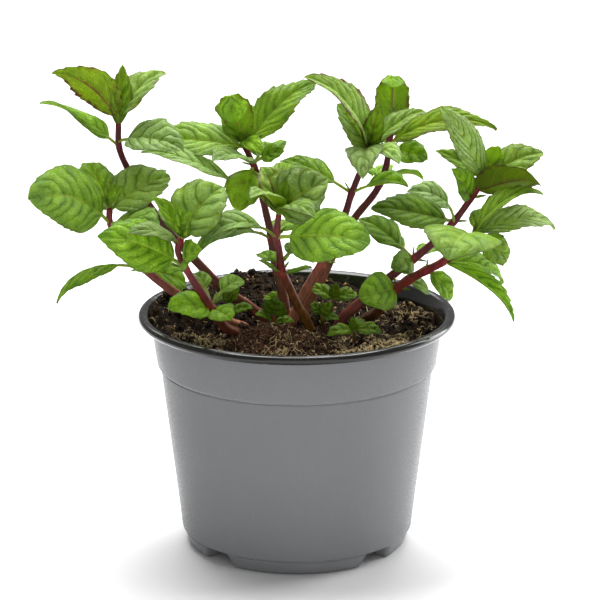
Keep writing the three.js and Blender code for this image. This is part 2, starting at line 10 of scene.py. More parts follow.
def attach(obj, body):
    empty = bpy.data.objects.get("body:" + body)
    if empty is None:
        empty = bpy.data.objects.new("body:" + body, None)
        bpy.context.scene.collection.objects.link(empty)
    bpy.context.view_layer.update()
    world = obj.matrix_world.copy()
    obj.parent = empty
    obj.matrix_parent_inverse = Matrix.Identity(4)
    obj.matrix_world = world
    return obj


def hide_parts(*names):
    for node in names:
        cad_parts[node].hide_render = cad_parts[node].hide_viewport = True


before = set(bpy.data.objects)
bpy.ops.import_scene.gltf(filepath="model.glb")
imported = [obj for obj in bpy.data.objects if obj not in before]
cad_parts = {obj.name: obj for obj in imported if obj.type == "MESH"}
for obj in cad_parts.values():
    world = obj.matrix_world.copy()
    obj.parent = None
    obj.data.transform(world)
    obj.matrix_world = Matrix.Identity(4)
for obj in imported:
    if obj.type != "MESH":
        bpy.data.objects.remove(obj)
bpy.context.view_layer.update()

MM = 0.001

# The plant's driving sizes, as in the part's source
BURIED = 13
STEM_BASE = 4.6
STEM_TOP = 2.4
SHOOT_BASE = 2.2
SHOOT_TOP = 1.5
WIDEST_AT = 0.4

# Leaves above this share of their stem are young, and tinted by this much
YOUNG_FROM = 0.94
YOUNG_TINT = 0.22
# What a leaf is where its row says nothing else
PLAIN_LEAF = {
    "sweep": 0, "blunt": 0, "pale": 0.1, "tone": 0, "wave": 0.35, "tip_fold": 0, "fold_at": 0.82,
    "flap": 1.7, "twist": 0, "quilt": 1.0, "teeth": 1.0, "brown": 0, "veins": 0.55, "reach": 0.34,
}


def leaf(at, tip, width, face, arch=0.2, fold=8, stalk=0.08, full=0.6, **more):
    """One leaf: its place on the stem, its tip, its width, and the way that its upper side faces.
    arch raises its middle and sweep moves it sideways, by a share of its length. fold is the slope
    of the V over its rib, and stalk the share of its length that is stalk. full broadens it and
    blunt rounds its tip. young tints it, pale paints a whitish sheen between the veins on its upper
    side, tone lightens or darkens it, as its own colour and as painted shade on leaves low in the
    plant and painted light on some others, and brown tints its rib and rim. veins sets how dark its
    veins are painted on the upper side, as painted shade in their grooves, and how light they are
    below, and reach is how far they run towards the tip. quilt deepens its relief, teeth its teeth,
    and wave ripples its edge. tip_fold bends its tip over from the share fold_at of its length,
    flap broadens what is bent, and twist turns its tip about its rib. fold, tip_fold and twist are
    in degrees."""
    young = YOUNG_TINT if at > YOUNG_FROM else 0
    return {**PLAIN_LEAF, "at": at, "tip": tip, "width": width, "face": face, "arch": arch,
            "fold": fold, "stalk": stalk, "full": full, "young": young, **more}


STEMS = {
    "far_left": ([
        (-14, 10, 91), (-30, 14, 103), (-41, 16, 114), (-54, 16, 129), (-63, 14, 143),
        (-69, 12, 155), (-72, 10, 164), (-72, 9, 175),
    ], [
        leaf(0.91, (-104, 13, 182), 13, (1, -1, 10), 0.12, 4, 0.15, wave=0.4, twist=-70),
        leaf(0.93, (-45, -5, 166), 19, (1, -6, 8), 0.22, 16, 0.16, 0.75, pale=0.9, tone=-0.1,
             quilt=1.4, veins=0.8),
        leaf(1.00, (-98, 4, 195.8), 18, (3, 8, 3), 0.05, 8, 0.08, 0.5, sweep=-0.28, young=0.75,
             tone=0.12, wave=0.5, quilt=1.8, teeth=1.5, brown=1, veins=0.8, reach=0.45),
        leaf(1.00, (-53, 18, 193), 16, (-5, -5, 6), 0.25, 12, 0.1, 0.4, young=0.45, pale=0.65,
             tone=-0.1, quilt=1.4, teeth=1.3),
        leaf(1.00, (-70, 10, 198), 9, (2, -9, 3), 0.05, 15, 0.05, 0.4, young=0.4, quilt=1.5),
        leaf(1.00, (-82, 34, 182), 13, (2, -2, 9), 0.2, 10, 0.1, 0.5),
        leaf(0.24, (-34, 4, 100), 7, (0, -3, 9), 0.1, 15, 0.2, 0.5, tone=-0.3),
        leaf(0.73, (-58, 44, 139), 16, (-3, -2, 9), 0.25, 10, 0.2, tone=-0.2),
    ]),
    "left": ([
        (-20, -6, 91), (-28, -6, 95), (-46, -6, 105), (-61, -7, 117), (-70, -8, 128),
        (-75, -8, 137), (-75, -8, 144),
    ], [
        leaf(0.67, (-97, -14, 105), 11, (-4, -2, 9), 0.4, -25, 0.25, 0.35, tone=-0.25),
        leaf(0.67, (-45, 6, 107), 13, (1, -7, 7), 0.1, 5, 0.15, 0.8, veins=0.3),
        leaf(0.92, (-104.9, -36, 154), 27, (1, -8, 5), 0.08, -4, 0.13, 0.9, sweep=0.22, blunt=0.8,
             pale=0.25, tone=0.15, quilt=0.8, teeth=0.6, veins=0.3),
        leaf(0.92, (-54, -26, 140), 17, (0, -4, 9), 0.15, 8, 0.12, pale=0.45),
        leaf(0.98, (-51, 0, 154), 21, (-3, -7, 6), 0.2, 14, blunt=0.3, pale=0.55, quilt=1.3),
        leaf(0.98, (-86, 12, 157), 14, (2, -6, 7), 0.15, 8, 0.1, 0.7, blunt=0.5),
        leaf(1.00, (-75, -2, 155), 5.5, (2, -9, 3), 0.1, 20, 0.05, 0.4, young=0.2),
        leaf(1.00, (-69, -14, 154), 5.5, (-3, -8, 5), 0.1, 20, 0.05, 0.4, young=0.2),
        leaf(0.97, (-80, 24, 134), 14, (-2, 0, 9), 0.2, 8, 0.1),
    ]),
    "front_left": ([
        (-22, -16, 91), (-29, -20, 97), (-34, -24, 106), (-39, -27, 115), (-44, -29, 124),
        (-47, -30, 132), (-45, -30, 137),
    ], [
        leaf(0.49, (-51, -34, 109), 14, (0, -6, 8), 0.12, 6, 0.1, 0.8, blunt=0.6, tone=0.2,
             quilt=0.6, veins=0.2),
        leaf(0.49, (-26, -34, 104), 11, (0, -6, 8), 0.1, 6, 0.1, 0.8, blunt=0.6, tone=0.1,
             quilt=0.6, veins=0.2),
        leaf(0.50, (-21, -18, 116), 10, (-1, -4, 9), 0.35, 10, 0.4, 0.7, pale=0.3, tone=-0.15),
        leaf(0.50, (-41, -14, 118), 8, (1, -4, 9), 0.3, 10, 0.45, 0.7, pale=0.3, tone=-0.15),
        leaf(0.80, (-78, -40, 140), 21, (-1, -8, 6), 0.1, -4, 0.16, sweep=0.1, quilt=0.8, teeth=0.6,
             veins=0.25),
        leaf(0.80, (-37, -42, 135), 13, (2, -7, 6), 0.3, 10, 0.2, 0.7, tone=0.1),
        leaf(0.96, (-66, -40, 141), 13, (-1, -3, 9), 0.2, 6, 0.05, pale=0.9, quilt=1.2),
        leaf(1.00, (-57, -36, 155), 9, (4, -6, 5), 0.12, 25, 0.05, 0.4),
        leaf(1.00, (-29, -24, 156), 25, (-4, -7, 5), 0.22, 10, 0.08, 0.9, blunt=0.5, pale=0.5,
             quilt=1.2),
        leaf(1.00, (-47, -40, 153), 7, (2, -8, 4), 0.1, 20, 0.05, 0.4, young=0.1),
        leaf(1.00, (-40, -42, 151), 7, (-3, -8, 4), 0.1, 20, 0.05, 0.4, young=0.1),
        leaf(0.99, (-52, -8, 143), 14, (2, -3, 9), 0.2, 8, 0.1),
    ]),
    "centre": ([
        (6, -10, 91), (0, -14, 105), (-4, -17, 115), (-6, -18, 120), (-7, -20, 129), (-8, -21, 135),
        (-7, -22, 145),
    ], [
        leaf(0.63, (-15, -24, 126), 6, (1, -2, 9), -0.1, 10, 0.1, 0.4, tone=-0.2),
        leaf(0.63, (6, -28, 124), 6.5, (0, -2, 9), -0.1, 10, 0.1, 0.4, tone=-0.2),
        leaf(0.68, (-16, -8, 124), 8, (1, -3, 9), 0.1, 10, 0.2, 0.5, tone=-0.3),
        leaf(0.68, (3, -6, 126), 9, (-1, -3, 9), 0.3, 10, 0.35, 0.5, tone=-0.3),
        leaf(0.85, (29, -38, 137), 23, (0, -8, 6), 0.14, 4, 0.16, 0.95, blunt=0.7, pale=0.2,
             tone=0.25, quilt=0.9, teeth=0.6),
        leaf(0.85, (-38, -36, 136), 15, (-1, -3, 9), 0.42, 15, 0.22, 0.5, pale=0.7, tone=-0.3),
        leaf(0.90, (2, -6, 139), 6, (0, -3, 9), 0.1, 10, 0.4, 0.5),
        leaf(0.99, (-14, -14, 162), 17, (5, -7, 4), 0.12, 20, 0.05, young=0.7, pale=0.4, brown=0.9),
        leaf(0.99, (12, -24, 159), 23, (-2, -8, 5), 0.2, 12, 0.05, 0.7, blunt=0.4, pale=0.65,
             quilt=1.5),
        leaf(1.00, (-4, -24, 159), 6.5, (-1, -9, 3), 0.1, 20, 0.05, 0.4, young=0.3),
        leaf(0.99, (-18, -46, 157), 13, (0, -3, 9), 0.25, 6, 0.06, pale=0.65),
        leaf(0.99, (7, -46, 149), 13, (0, -3, 9), 0.25, 6, 0.06, pale=0.5),
        leaf(0.99, (-4, 0, 160), 14, (0, -6, 6), 0.2, 12, 0.06),
    ]),
    "tall_left": ([
        (-4, 8, 91), (-6, 12, 103), (-9, 15, 114), (-11, 17, 127), (-13, 18, 136), (-16, 19, 150),
        (-19, 20, 157), (-22, 20, 164),
    ], [
        leaf(0.53, (-42, 0, 121), 13, (-1, -3, 9), 0.4, 14, 0.22, 0.5, pale=0.3, tone=-0.3),
        leaf(0.53, (1, 36, 123), 14, (-1, -2, 9), 0.25, 8, 0.25),
        leaf(0.88, (-24, 6, 138), 16, (-2, -9, 3), 0.1, 5, 0.12, 0.7, blunt=0.3, young=0.4,
             tone=0.2),
        leaf(0.89, (-34, -6, 162), 14, (-1, -5, 8), 0.15, 6, 0.06, 0.7, pale=0.75),
        leaf(0.89, (-5, 16, 161), 8.5, (0, -6, 7), 0.15, 12, 0.32, tone=-0.1),
        leaf(0.88, (-6, 50, 153), 14, (-2, -1, 9), 0.25, 8, 0.2),
        leaf(0.98, (-27, 12, 184.5), 13, (1, 9, 3), 0.1, 12, 0.05, blunt=0.8, young=0.7, tone=0.3,
             tip_fold=-150, fold_at=0.67, flap=2.0, teeth=1.2, brown=0.4),
        leaf(1.00, (-29, 26, 178), 11, (1, -9, 3), 0.1, 8, 0.05, 0.5),
        leaf(0.97, (8, 32, 186), 16, (-3, -7, 6), 0.25, 10, 0.06, 0.5, blunt=0.4, young=0.2,
             tone=-0.1, wave=1.1, quilt=0.7, teeth=1.8, veins=0.35),
        leaf(1.00, (-14, 8, 162), 8, (2, -8, 4), 0.3, 8, 0.05, 0.9, young=0.2, tone=0.3),
        leaf(0.97, (-61, 26, 161), 18, (0, -6, 8), 0.14, 8, 0.06, 0.5, young=0.1, pale=0.45,
             wave=0.6, teeth=1.2),
        leaf(0.72, (-63, 6, 163), 13, (-1, -3, 9), 0.1, 10, 0.3, 0.5, pale=1.0, veins=0.7),
        leaf(0.99, (-16, 50, 171), 14, (-1, -3, 9), 0.25, 8, 0.06, 0.5),
    ]),
    "tall_right": ([
        (-2, 2, 92), (1, 4, 100), (7, 5, 111), (15, 6, 124), (20, 6, 138), (22, 6, 145),
        (26, 5, 156), (29, 4, 165),
    ], [
        leaf(0.43, (0, -2, 122), 5.5, (0, -3, 9), 0.3, 10, 0.3, 0.5, tone=-0.4),
        leaf(0.43, (19, 20, 116), 8, (0, -3, 9), 0.2, 10, 0.3, 0.5, tone=-0.4),
        leaf(0.78, (-7, 12, 158), 15, (0, -2, 9), 0.1, 10, 0.26, 0.4, tone=-0.1),
        leaf(0.78, (45, -4, 151), 12, (0, -2, 9), 0.2, 28, 0.3, 0.5, tone=0.1),
        leaf(0.99, (26, -24, 159), 15, (-1, -4, 9), 0.3, 12, 0.06, pale=0.85),
        leaf(0.99, (41, -14, 163), 12, (1, -4, 9), 0.2, 12, 0.06, pale=0.75),
        leaf(0.99, (3, -6, 196.5), 16, (5, -5, 6), 0.28, 28, 0.05, 0.7, blunt=0.3, young=0.4,
             pale=0.65, brown=1, reach=0.45),
        leaf(1.00, (16, 0, 184), 14, (3, -8, 4), 0.1, 20, 0.05, 0.7, blunt=0.3, pale=0.9,
             tone=-0.15, veins=0.7, reach=0.5),
        leaf(1.00, (33, -4, 186), 8.5, (0, -9, 2), 0.05, 15, 0.04, 0.5, young=0.3, tone=0.1,
             brown=0.8),
        leaf(1.00, (52, 10, 179), 10, (-3, -5, 8), 0.15, 18, 0.06, 0.4, young=0.3, pale=0.5,
             teeth=1.3),
        leaf(0.99, (21, 32, 171), 14, (2, -2, 9), 0.25, 8, 0.06, 0.5),
    ]),
    "back_right": ([
        (2, 16, 90), (9, 20, 103), (17, 24, 119), (24, 27, 130), (33, 30, 141), (37, 32, 151),
        (38, 33, 160), (40, 34, 170),
    ], [
        leaf(0.74, (53, 36, 144), 11, (0, 3, 9), 0.35, 8, 0.2, 0.5, tone=0.2),
        leaf(0.74, (32, 60, 140), 14, (0, -1, 9), 0.25, 8, 0.2),
        leaf(0.88, (54, 26, 155), 12, (0, -6, 7), 0.12, 8, 0.2, 0.7),
        leaf(0.90, (82, 24, 168), 14, (0, -5, 8), 0.34, 10, 0.06, 0.35, young=0.6, wave=0.8,
             teeth=1.4, brown=0.5),
        leaf(0.95, (40, 42, 187), 14, (0, 9, 2), 0.08, 12, 0.05, 0.9, blunt=1, young=0.35,
             tone=0.15, tip_fold=-150, fold_at=0.78, teeth=1.5, brown=0.7, veins=0.25),
        leaf(0.90, (23, 46, 165), 13, (2, -3, 9), 0.2, 10, 0.06, 0.5),
        leaf(0.92, (49, 60, 164), 14, (-1, -2, 9), 0.25, 8, 0.06, 0.5),
    ]),
    "right_low": ([
        (28, 6, 92), (32, 2, 96), (41, -4, 109), (50, -8, 116), (59, -12, 122), (66, -15, 129),
        (71, -16, 135),
    ], [
        leaf(0.46, (25, -18, 109), 16, (1, -9, 4), 0.05, 4, 0.06, 1, blunt=0.9, tone=-0.1,
             quilt=0.7, teeth=0.5, veins=0.25),
        leaf(0.54, (54, 4, 104), 8, (0, -6, 7), 0.1, 8, 0.1, 0.7, tone=-0.2),
        leaf(0.66, (62, -8, 104), 10, (5, -6, 5), 0.28, 8, 0.12, 0.7),
        leaf(0.77, (87, -26, 101), 10, (3, -3, 9), 0.18, 34, 0.05, 0.3, tone=0.1, teeth=1.5),
        leaf(0.77, (84, 6, 107), 11, (2, -5, 8), 0.28, 14, 0.06, 0.4),
        leaf(1.00, (99, -8, 149), 11, (-3, -3, 9), 0.34, 22, 0.05, 0.3, young=0.35, pale=0.25,
             teeth=1.6),
        leaf(0.99, (105, 4, 131), 13, (0, -5, 8), 0.32, 10, 0.05, 0.35, pale=0.9, wave=0.6,
             teeth=1.6),
        leaf(0.98, (59, -46, 132), 31, (0, -4, 9), 0.27, 0, 0.08, 1, pale=0.35, tone=0.15, wave=0.1,
             quilt=0.7, teeth=0.7, veins=0.12),
        leaf(0.98, (85, -10, 122), 12, (2, -8, 5), 0.2, 6, 0.2, 0.9, blunt=0.8, tone=-0.1,
             veins=0.3),
        leaf(0.99, (87, 17, 132), 14, (-2, -2, 9), 0.25, 8, 0.1),
    ]),
    "right_high": ([
        (17, 0, 92), (26, 2, 101), (38, 4, 111), (48, 4, 119), (55, 4, 125), (64, 3, 135),
        (70, 2, 144), (76, 1, 154),
    ], [
        leaf(0.54, (38, -10, 119), 10, (0, -9, 3), 0.1, 4, 0.1, 1, blunt=0.8, tone=-0.35,
             veins=0.3),
        leaf(0.54, (25, 14, 133), 14, (0, -4, 9), 0.15, 8, 0.28, tone=-0.25, quilt=0.7, veins=0.3),
        leaf(0.54, (31, 26, 125), 9, (0, -2, 9), 0.1, 16, 0.25, 0.5, tone=-0.3),
        leaf(0.54, (59, 22, 118), 8, (0, -3, 9), 0.15, 10, 0.2, tone=-0.1),
        leaf(0.77, (30, 0, 141), 17, (1, -6, 8), 0.05, 6, 0.1, blunt=0.5, tone=-0.45, quilt=0.6,
             veins=0.25),
        leaf(0.77, (44, -12, 151), 12, (1, -6, 8), 0.38, 10, 0.34, pale=1.0, tone=-0.2, veins=0.7),
        leaf(0.89, (62, -10, 160), 11, (3, -8, 4), 0.1, 12, 0.05, 0.5, tone=-0.3),
        leaf(0.99, (57, -4, 184), 13.5, (3, -8, 5), 0.12, 8, 0.08, 0.4, blunt=0.5, pale=1.0,
             quilt=1.6, veins=1.0, reach=0.62),
        leaf(0.99, (56, 8, 163), 8, (2, -6, 7), 0.1, 14, 0.08, 0.4, tone=-0.1),
        leaf(0.99, (100, 8, 162), 14, (-2, -7, 7), 0.2, 10, young=0.3, pale=0.35, teeth=1.2),
        leaf(0.99, (81, 0, 167), 9, (0, 9, 2), 0.1, 14, 0.06, tone=0.2),
        leaf(0.93, (96, -18, 156), 19, (0, 7, 5), 0.12, 10, 0.03, 0.9, blunt=1, young=0.75,
             tone=-0.3, teeth=1.3, brown=0.8),
        leaf(0.99, (73, 34, 153), 13, (0, -1, 9), 0.25),
    ]),
}

# Young shoots that have only just come up out of the soil
SHOOTS = {
    "shoot_front": ([
        (-10, -5, 92), (-9.5, -5, 97), (-9, -4, 103),
    ], [
        leaf(0.62, (-1, -10, 96), 4.5, (0, -5, 9), 0.2, 12),
        leaf(0.66, (-17, -9, 99), 4.5, (0, -5, 9), 0.2, 12),
        leaf(0.75, (-8, -8, 105.5), 10, (-1, -9, 3), 0.1, 8, 0.08, 0.85),
        leaf(1.00, (-12, -1, 105), 6, (3, -8, 3), 0.1, 20, 0.08, 0.7),
    ]),
    "shoot_middle": ([
        (13, 8, 92), (14, 9, 96), (15, 10, 100),
    ], [
        leaf(1.00, (5, 13, 104), 7, (1, -5, 8), 0.2, 10),
        leaf(1.00, (25, 12, 101), 7.5, (-1, -5, 8), 0.2, 10),
        leaf(1.00, (16, 6, 108), 4.5, (0, -9, 2), 0.1, 18),
    ]),
    "shoot_right": ([
        (11, -5, 92), (10.5, -6, 95), (10, -7, 98),
    ], [
        leaf(1.00, (14, -9, 104), 5, (-1, -8, 4), 0.1, 14),
        leaf(1.00, (6, -6, 103), 4.5, (2, -8, 4), 0.1, 14),
        leaf(0.90, (17, -13, 98), 5, (-1, -5, 8), 0.2, 10),
    ]),
    "shoot_front_right": ([
        (23, -24, 91), (23, -24, 94.5), (23, -24.5, 97),
    ], [
        leaf(1.00, (34, -27, 96.5), 6.5, (-1, -5, 8), 0.25, 10),
        leaf(1.00, (12, -30, 96.5), 6, (1, -5, 8), 0.2, 10),
        leaf(1.00, (26, -16, 99), 5, (0, -2, 9), 0.2, 10),
        leaf(1.00, (22, -27, 103), 3.5, (0, -8, 4), 0.1, 18),
    ]),
    "shoot_left": ([
        (-27, 4, 92), (-27, 4, 96), (-27.5, 3.5, 100),
    ], [
        leaf(0.80, (-18, 0, 99), 5.5, (0, -5, 8), 0.2, 10),
        leaf(0.80, (-33, 0.5, 97.5), 4.5, (0, -5, 8), 0.2, 10),
        leaf(1.00, (-30, 2, 107), 4.5, (2, -8, 4), 0.1, 16),
        leaf(1.00, (-24, 6, 107), 4.5, (-2, -8, 4), 0.1, 16),
    ]),
}


# Each stem's colour at its foot and at its top
STEM_COLOURS = {
    "far_left": ((0.150, 0.048, 0.026), (0.062, 0.008, 0.012)),
    "left": ((0.290, 0.105, 0.050), (0.095, 0.015, 0.016)),
    "front_left": ((0.120, 0.042, 0.022), (0.110, 0.011, 0.014)),
    "centre": ((0.120, 0.058, 0.010), (0.085, 0.013, 0.015)),
    "tall_left": ((0.150, 0.056, 0.026), (0.075, 0.008, 0.012)),
    "tall_right": ((0.300, 0.110, 0.060), (0.072, 0.008, 0.014)),
    "back_right": ((0.230, 0.085, 0.045), (0.068, 0.008, 0.014)),
    "right_low": ((0.100, 0.040, 0.014), (0.100, 0.011, 0.015)),
    "right_high": ((0.170, 0.042, 0.030), (0.085, 0.009, 0.015)),
}
SHOOT_COLOUR = ((0.110, 0.040, 0.022), (0.060, 0.075, 0.012))


# Numbers and vectors

def unit(vectors):
    return vectors / np.linalg.norm(vectors, axis=-1, keepdims=True)


def smooth(low, high, value):
    share = np.clip((value - low) / (high - low), 0, 1)
    return share * share * (3 - 2 * share)


def lump(point, scale, octaves):
    """Layered noise of about -1 to 1 at a point, with lumps of the size scale."""
    return noise.fractal(Vector(point) / scale, 1.0, 2.0, octaves)


# Pieces

def piece(name, points, faces, material, slot, node=None, colours=None):
    """A mesh that rides on the root body, and stands for a node if one is named."""
    mesh = bpy.data.meshes.new(name)
    mesh.from_pydata((np.asarray(points) * MM).tolist(), [], faces)
    mesh.polygons.foreach_set("use_smooth", [True] * len(mesh.polygons))
    for key, values in (colours or {}).items():
        layer = mesh.attributes.new(key, "FLOAT_COLOR", "POINT")
        layer.data.foreach_set("color", np.asarray(values, np.float32).ravel())
    mesh.materials.append(material)
    made = bpy.data.objects.new(name, mesh)
    bpy.context.scene.collection.objects.link(made)
    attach(made, "root")
    if node:
        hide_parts(node)
    return made


def grid_faces(rows, columns, start=0, closed=False):
    """Quads over a grid of points, row by row. closed joins the last column to the first."""
    faces = []
    for i in range(rows - 1):
        for j in range(columns if closed else columns - 1):
            a = start + i * columns + j
            b = start + i * columns + (j + 1) % columns
            faces.append((a, b, b + columns, a + columns))
    return faces


def tube_faces(rows, around):
    """The faces of a closed tube: its grid of points and its two ends."""
    last = (rows - 1) * around
    return [*grid_faces(rows, around, closed=True), tuple(range(around))[::-1],
            tuple(range(last, last + around))]


def placed(rows, *moves):
    """A grid of points: each row's point, moved along the row's directions by a grid of lengths."""
    points = rows[:, None]
    for directions, lengths in moves:
        points = points + directions[:, None] * lengths[..., None]
    return points


class Skins:
    """Meshes gathered into one piece."""

    def __init__(self):
        self.points, self.faces, self.colours, self.count = [], [], {}, 0

    def add(self, points, faces, **colours):
        self.faces += [tuple(index + self.count for index in face) for face in faces]
        self.points.append(points)
        for key, values in colours.items():
            self.colours.setdefault(key, []).append(values)
        self.count += len(points)

    def piece(self, name, material, slot, node=None):
        colours = {key: np.vstack(values) for key, values in self.colours.items()}
        piece(name, np.vstack(self.points), self.faces, material, slot, node, colours)


# Materials

class Graph:
    """A material's nodes."""

    def __init__(self, name):
        self.material = bpy.data.materials.new(name)
        self.material.use_nodes = True
        self.tree = self.material.node_tree
        self.tree.nodes.clear()

    def node(self, kind, inputs=(), **settings):
        made = self.tree.nodes.new("ShaderNode" + kind)
        for key, value in settings.items():
            setattr(made, key, value)
        for key, value in dict(inputs).items():
            self.feed(made.inputs[key], value)
        return made

    def feed(self, socket, value):
        if isinstance(value, bpy.types.NodeSocket):
            self.tree.links.new(value, socket)
        elif socket.type == "RGBA" and len(value) == 3:
            socket.default_value = (*value, 1)
        else:
            socket.default_value = value

    def math(self, operation, *values):
        made = self.node("Math", operation=operation)
        for socket, value in zip(made.inputs, values):
            self.feed(socket, value)
        return made.outputs[0]

    def times(self, first, *others):
        """The product of two or more values."""
        for value in others:
            first = self.math("MULTIPLY", first, value)
        return first

    def line(self, value, slope, start):
        """start plus slope times value."""
        return self.math("MULTIPLY_ADD", value, slope, start)

    def ramp(self, value, low, high, start=0.0, end=1.0):
        """A smooth step of value from low to high, running from start to end."""
        made = self.node("MapRange", {"Value": value, "From Min": low, "From Max": high,
                                      "To Min": start, "To Max": end},
                         interpolation_type="SMOOTHSTEP")
        return made.outputs["Result"]

    def mix(self, share, first, second, blend="MIX"):
        made = self.node("Mix", data_type="RGBA", blend_type=blend)
        self.feed(made.inputs[0], share)
        self.feed(made.inputs[6], first)
        self.feed(made.inputs[7], second)
        return made.outputs[2]

    def noise(self, size_mm, detail=3.0, stretch=(1, 1, 1)):
        """Noise over the object's own coordinates, with lumps of a size in millimetres."""
        place = self.node("TexCoord").outputs["Object"]
        scaled = self.node("Mapping", {"Vector": place, "Scale": stretch}).outputs["Vector"]
        made = self.node("TexNoise", {"Vector": scaled, "Scale": 1 / (size_mm * MM),
                                      "Detail": detail})
        return made.outputs["Fac"]

    def cells(self, size_mm, feature):
        """The distance to the middle or to the edge of random cells."""
        place = self.node("TexCoord").outputs["Object"]
        made = self.node("TexVoronoi", {"Vector": place, "Scale": 1 / (size_mm * MM)},
                         feature=feature)
        return made.outputs["Distance"]

    def colours(self, key):
        """The red, green and blue of a stored colour, and its alpha."""
        stored = self.node("Attribute", attribute_name=key)
        parts = self.node("SeparateColor", {"Color": stored.outputs["Color"]})
        return [*parts.outputs[:3], stored.outputs["Alpha"]]

    def bump(self, height, depth_mm, strength):
        made = self.node("Bump", {"Height": height, "Strength": strength,
                                  "Distance": depth_mm * MM})
        return made.outputs["Normal"]

    def surface(self, colour, roughness, specular, normal=None):
        made = self.node("BsdfPrincipled", {"Base Color": colour, "Roughness": roughness,
                                            "Specular IOR Level": specular})
        if normal is not None:
            self.feed(made.inputs["Normal"], normal)
        return made.outputs[0]

    def finish(self, shader):
        self.node("OutputMaterial", {"Surface": shader})
        return self.material


# How far the stored count of veins runs, and how many of them lie below the leaf's foot
PHASE_RANGE = 20
VEINS_BEFORE = 6

LEAF_TINTS = {
    "deep": (0.120, 0.270, 0.004), "bright": (0.270, 0.490, 0.012),
    # Next line: a painted highlight on the raised cushions, then painted shade in the sunken veins
    # and their network
    "cushion_and_highlight": (0.380, 0.630, 0.024), "vein_and_shade": (0.025, 0.090, 0.003), "net_and_shade": (0.050, 0.145, 0.003),
    # Next line: the second colour is a painted whitish sheen, a reflection painted into the colour
    "rib": (0.42, 0.58, 0.11), "painted_sheen_colour": (0.50, 0.66, 0.33), "under": (0.150, 0.285, 0.012),
    "under_light": (0.250, 0.405, 0.036), "under_vein": (0.42, 0.54, 0.11),
    "under_net": (0.32, 0.46, 0.07), "under_rib": (0.48, 0.54, 0.16), "olive": (0.26, 0.33, 0.010),
    "young_vein": (0.50, 0.60, 0.06), "brown_rib": (0.22, 0.075, 0.045),
    "stain": (0.120, 0.040, 0.022), "edge": (0.075, 0.120, 0.012), "stalk": (0.34, 0.46, 0.09),
    "brown_stalk": (0.34, 0.12, 0.06), "glow": (1.60, 1.35, 0.15),
}


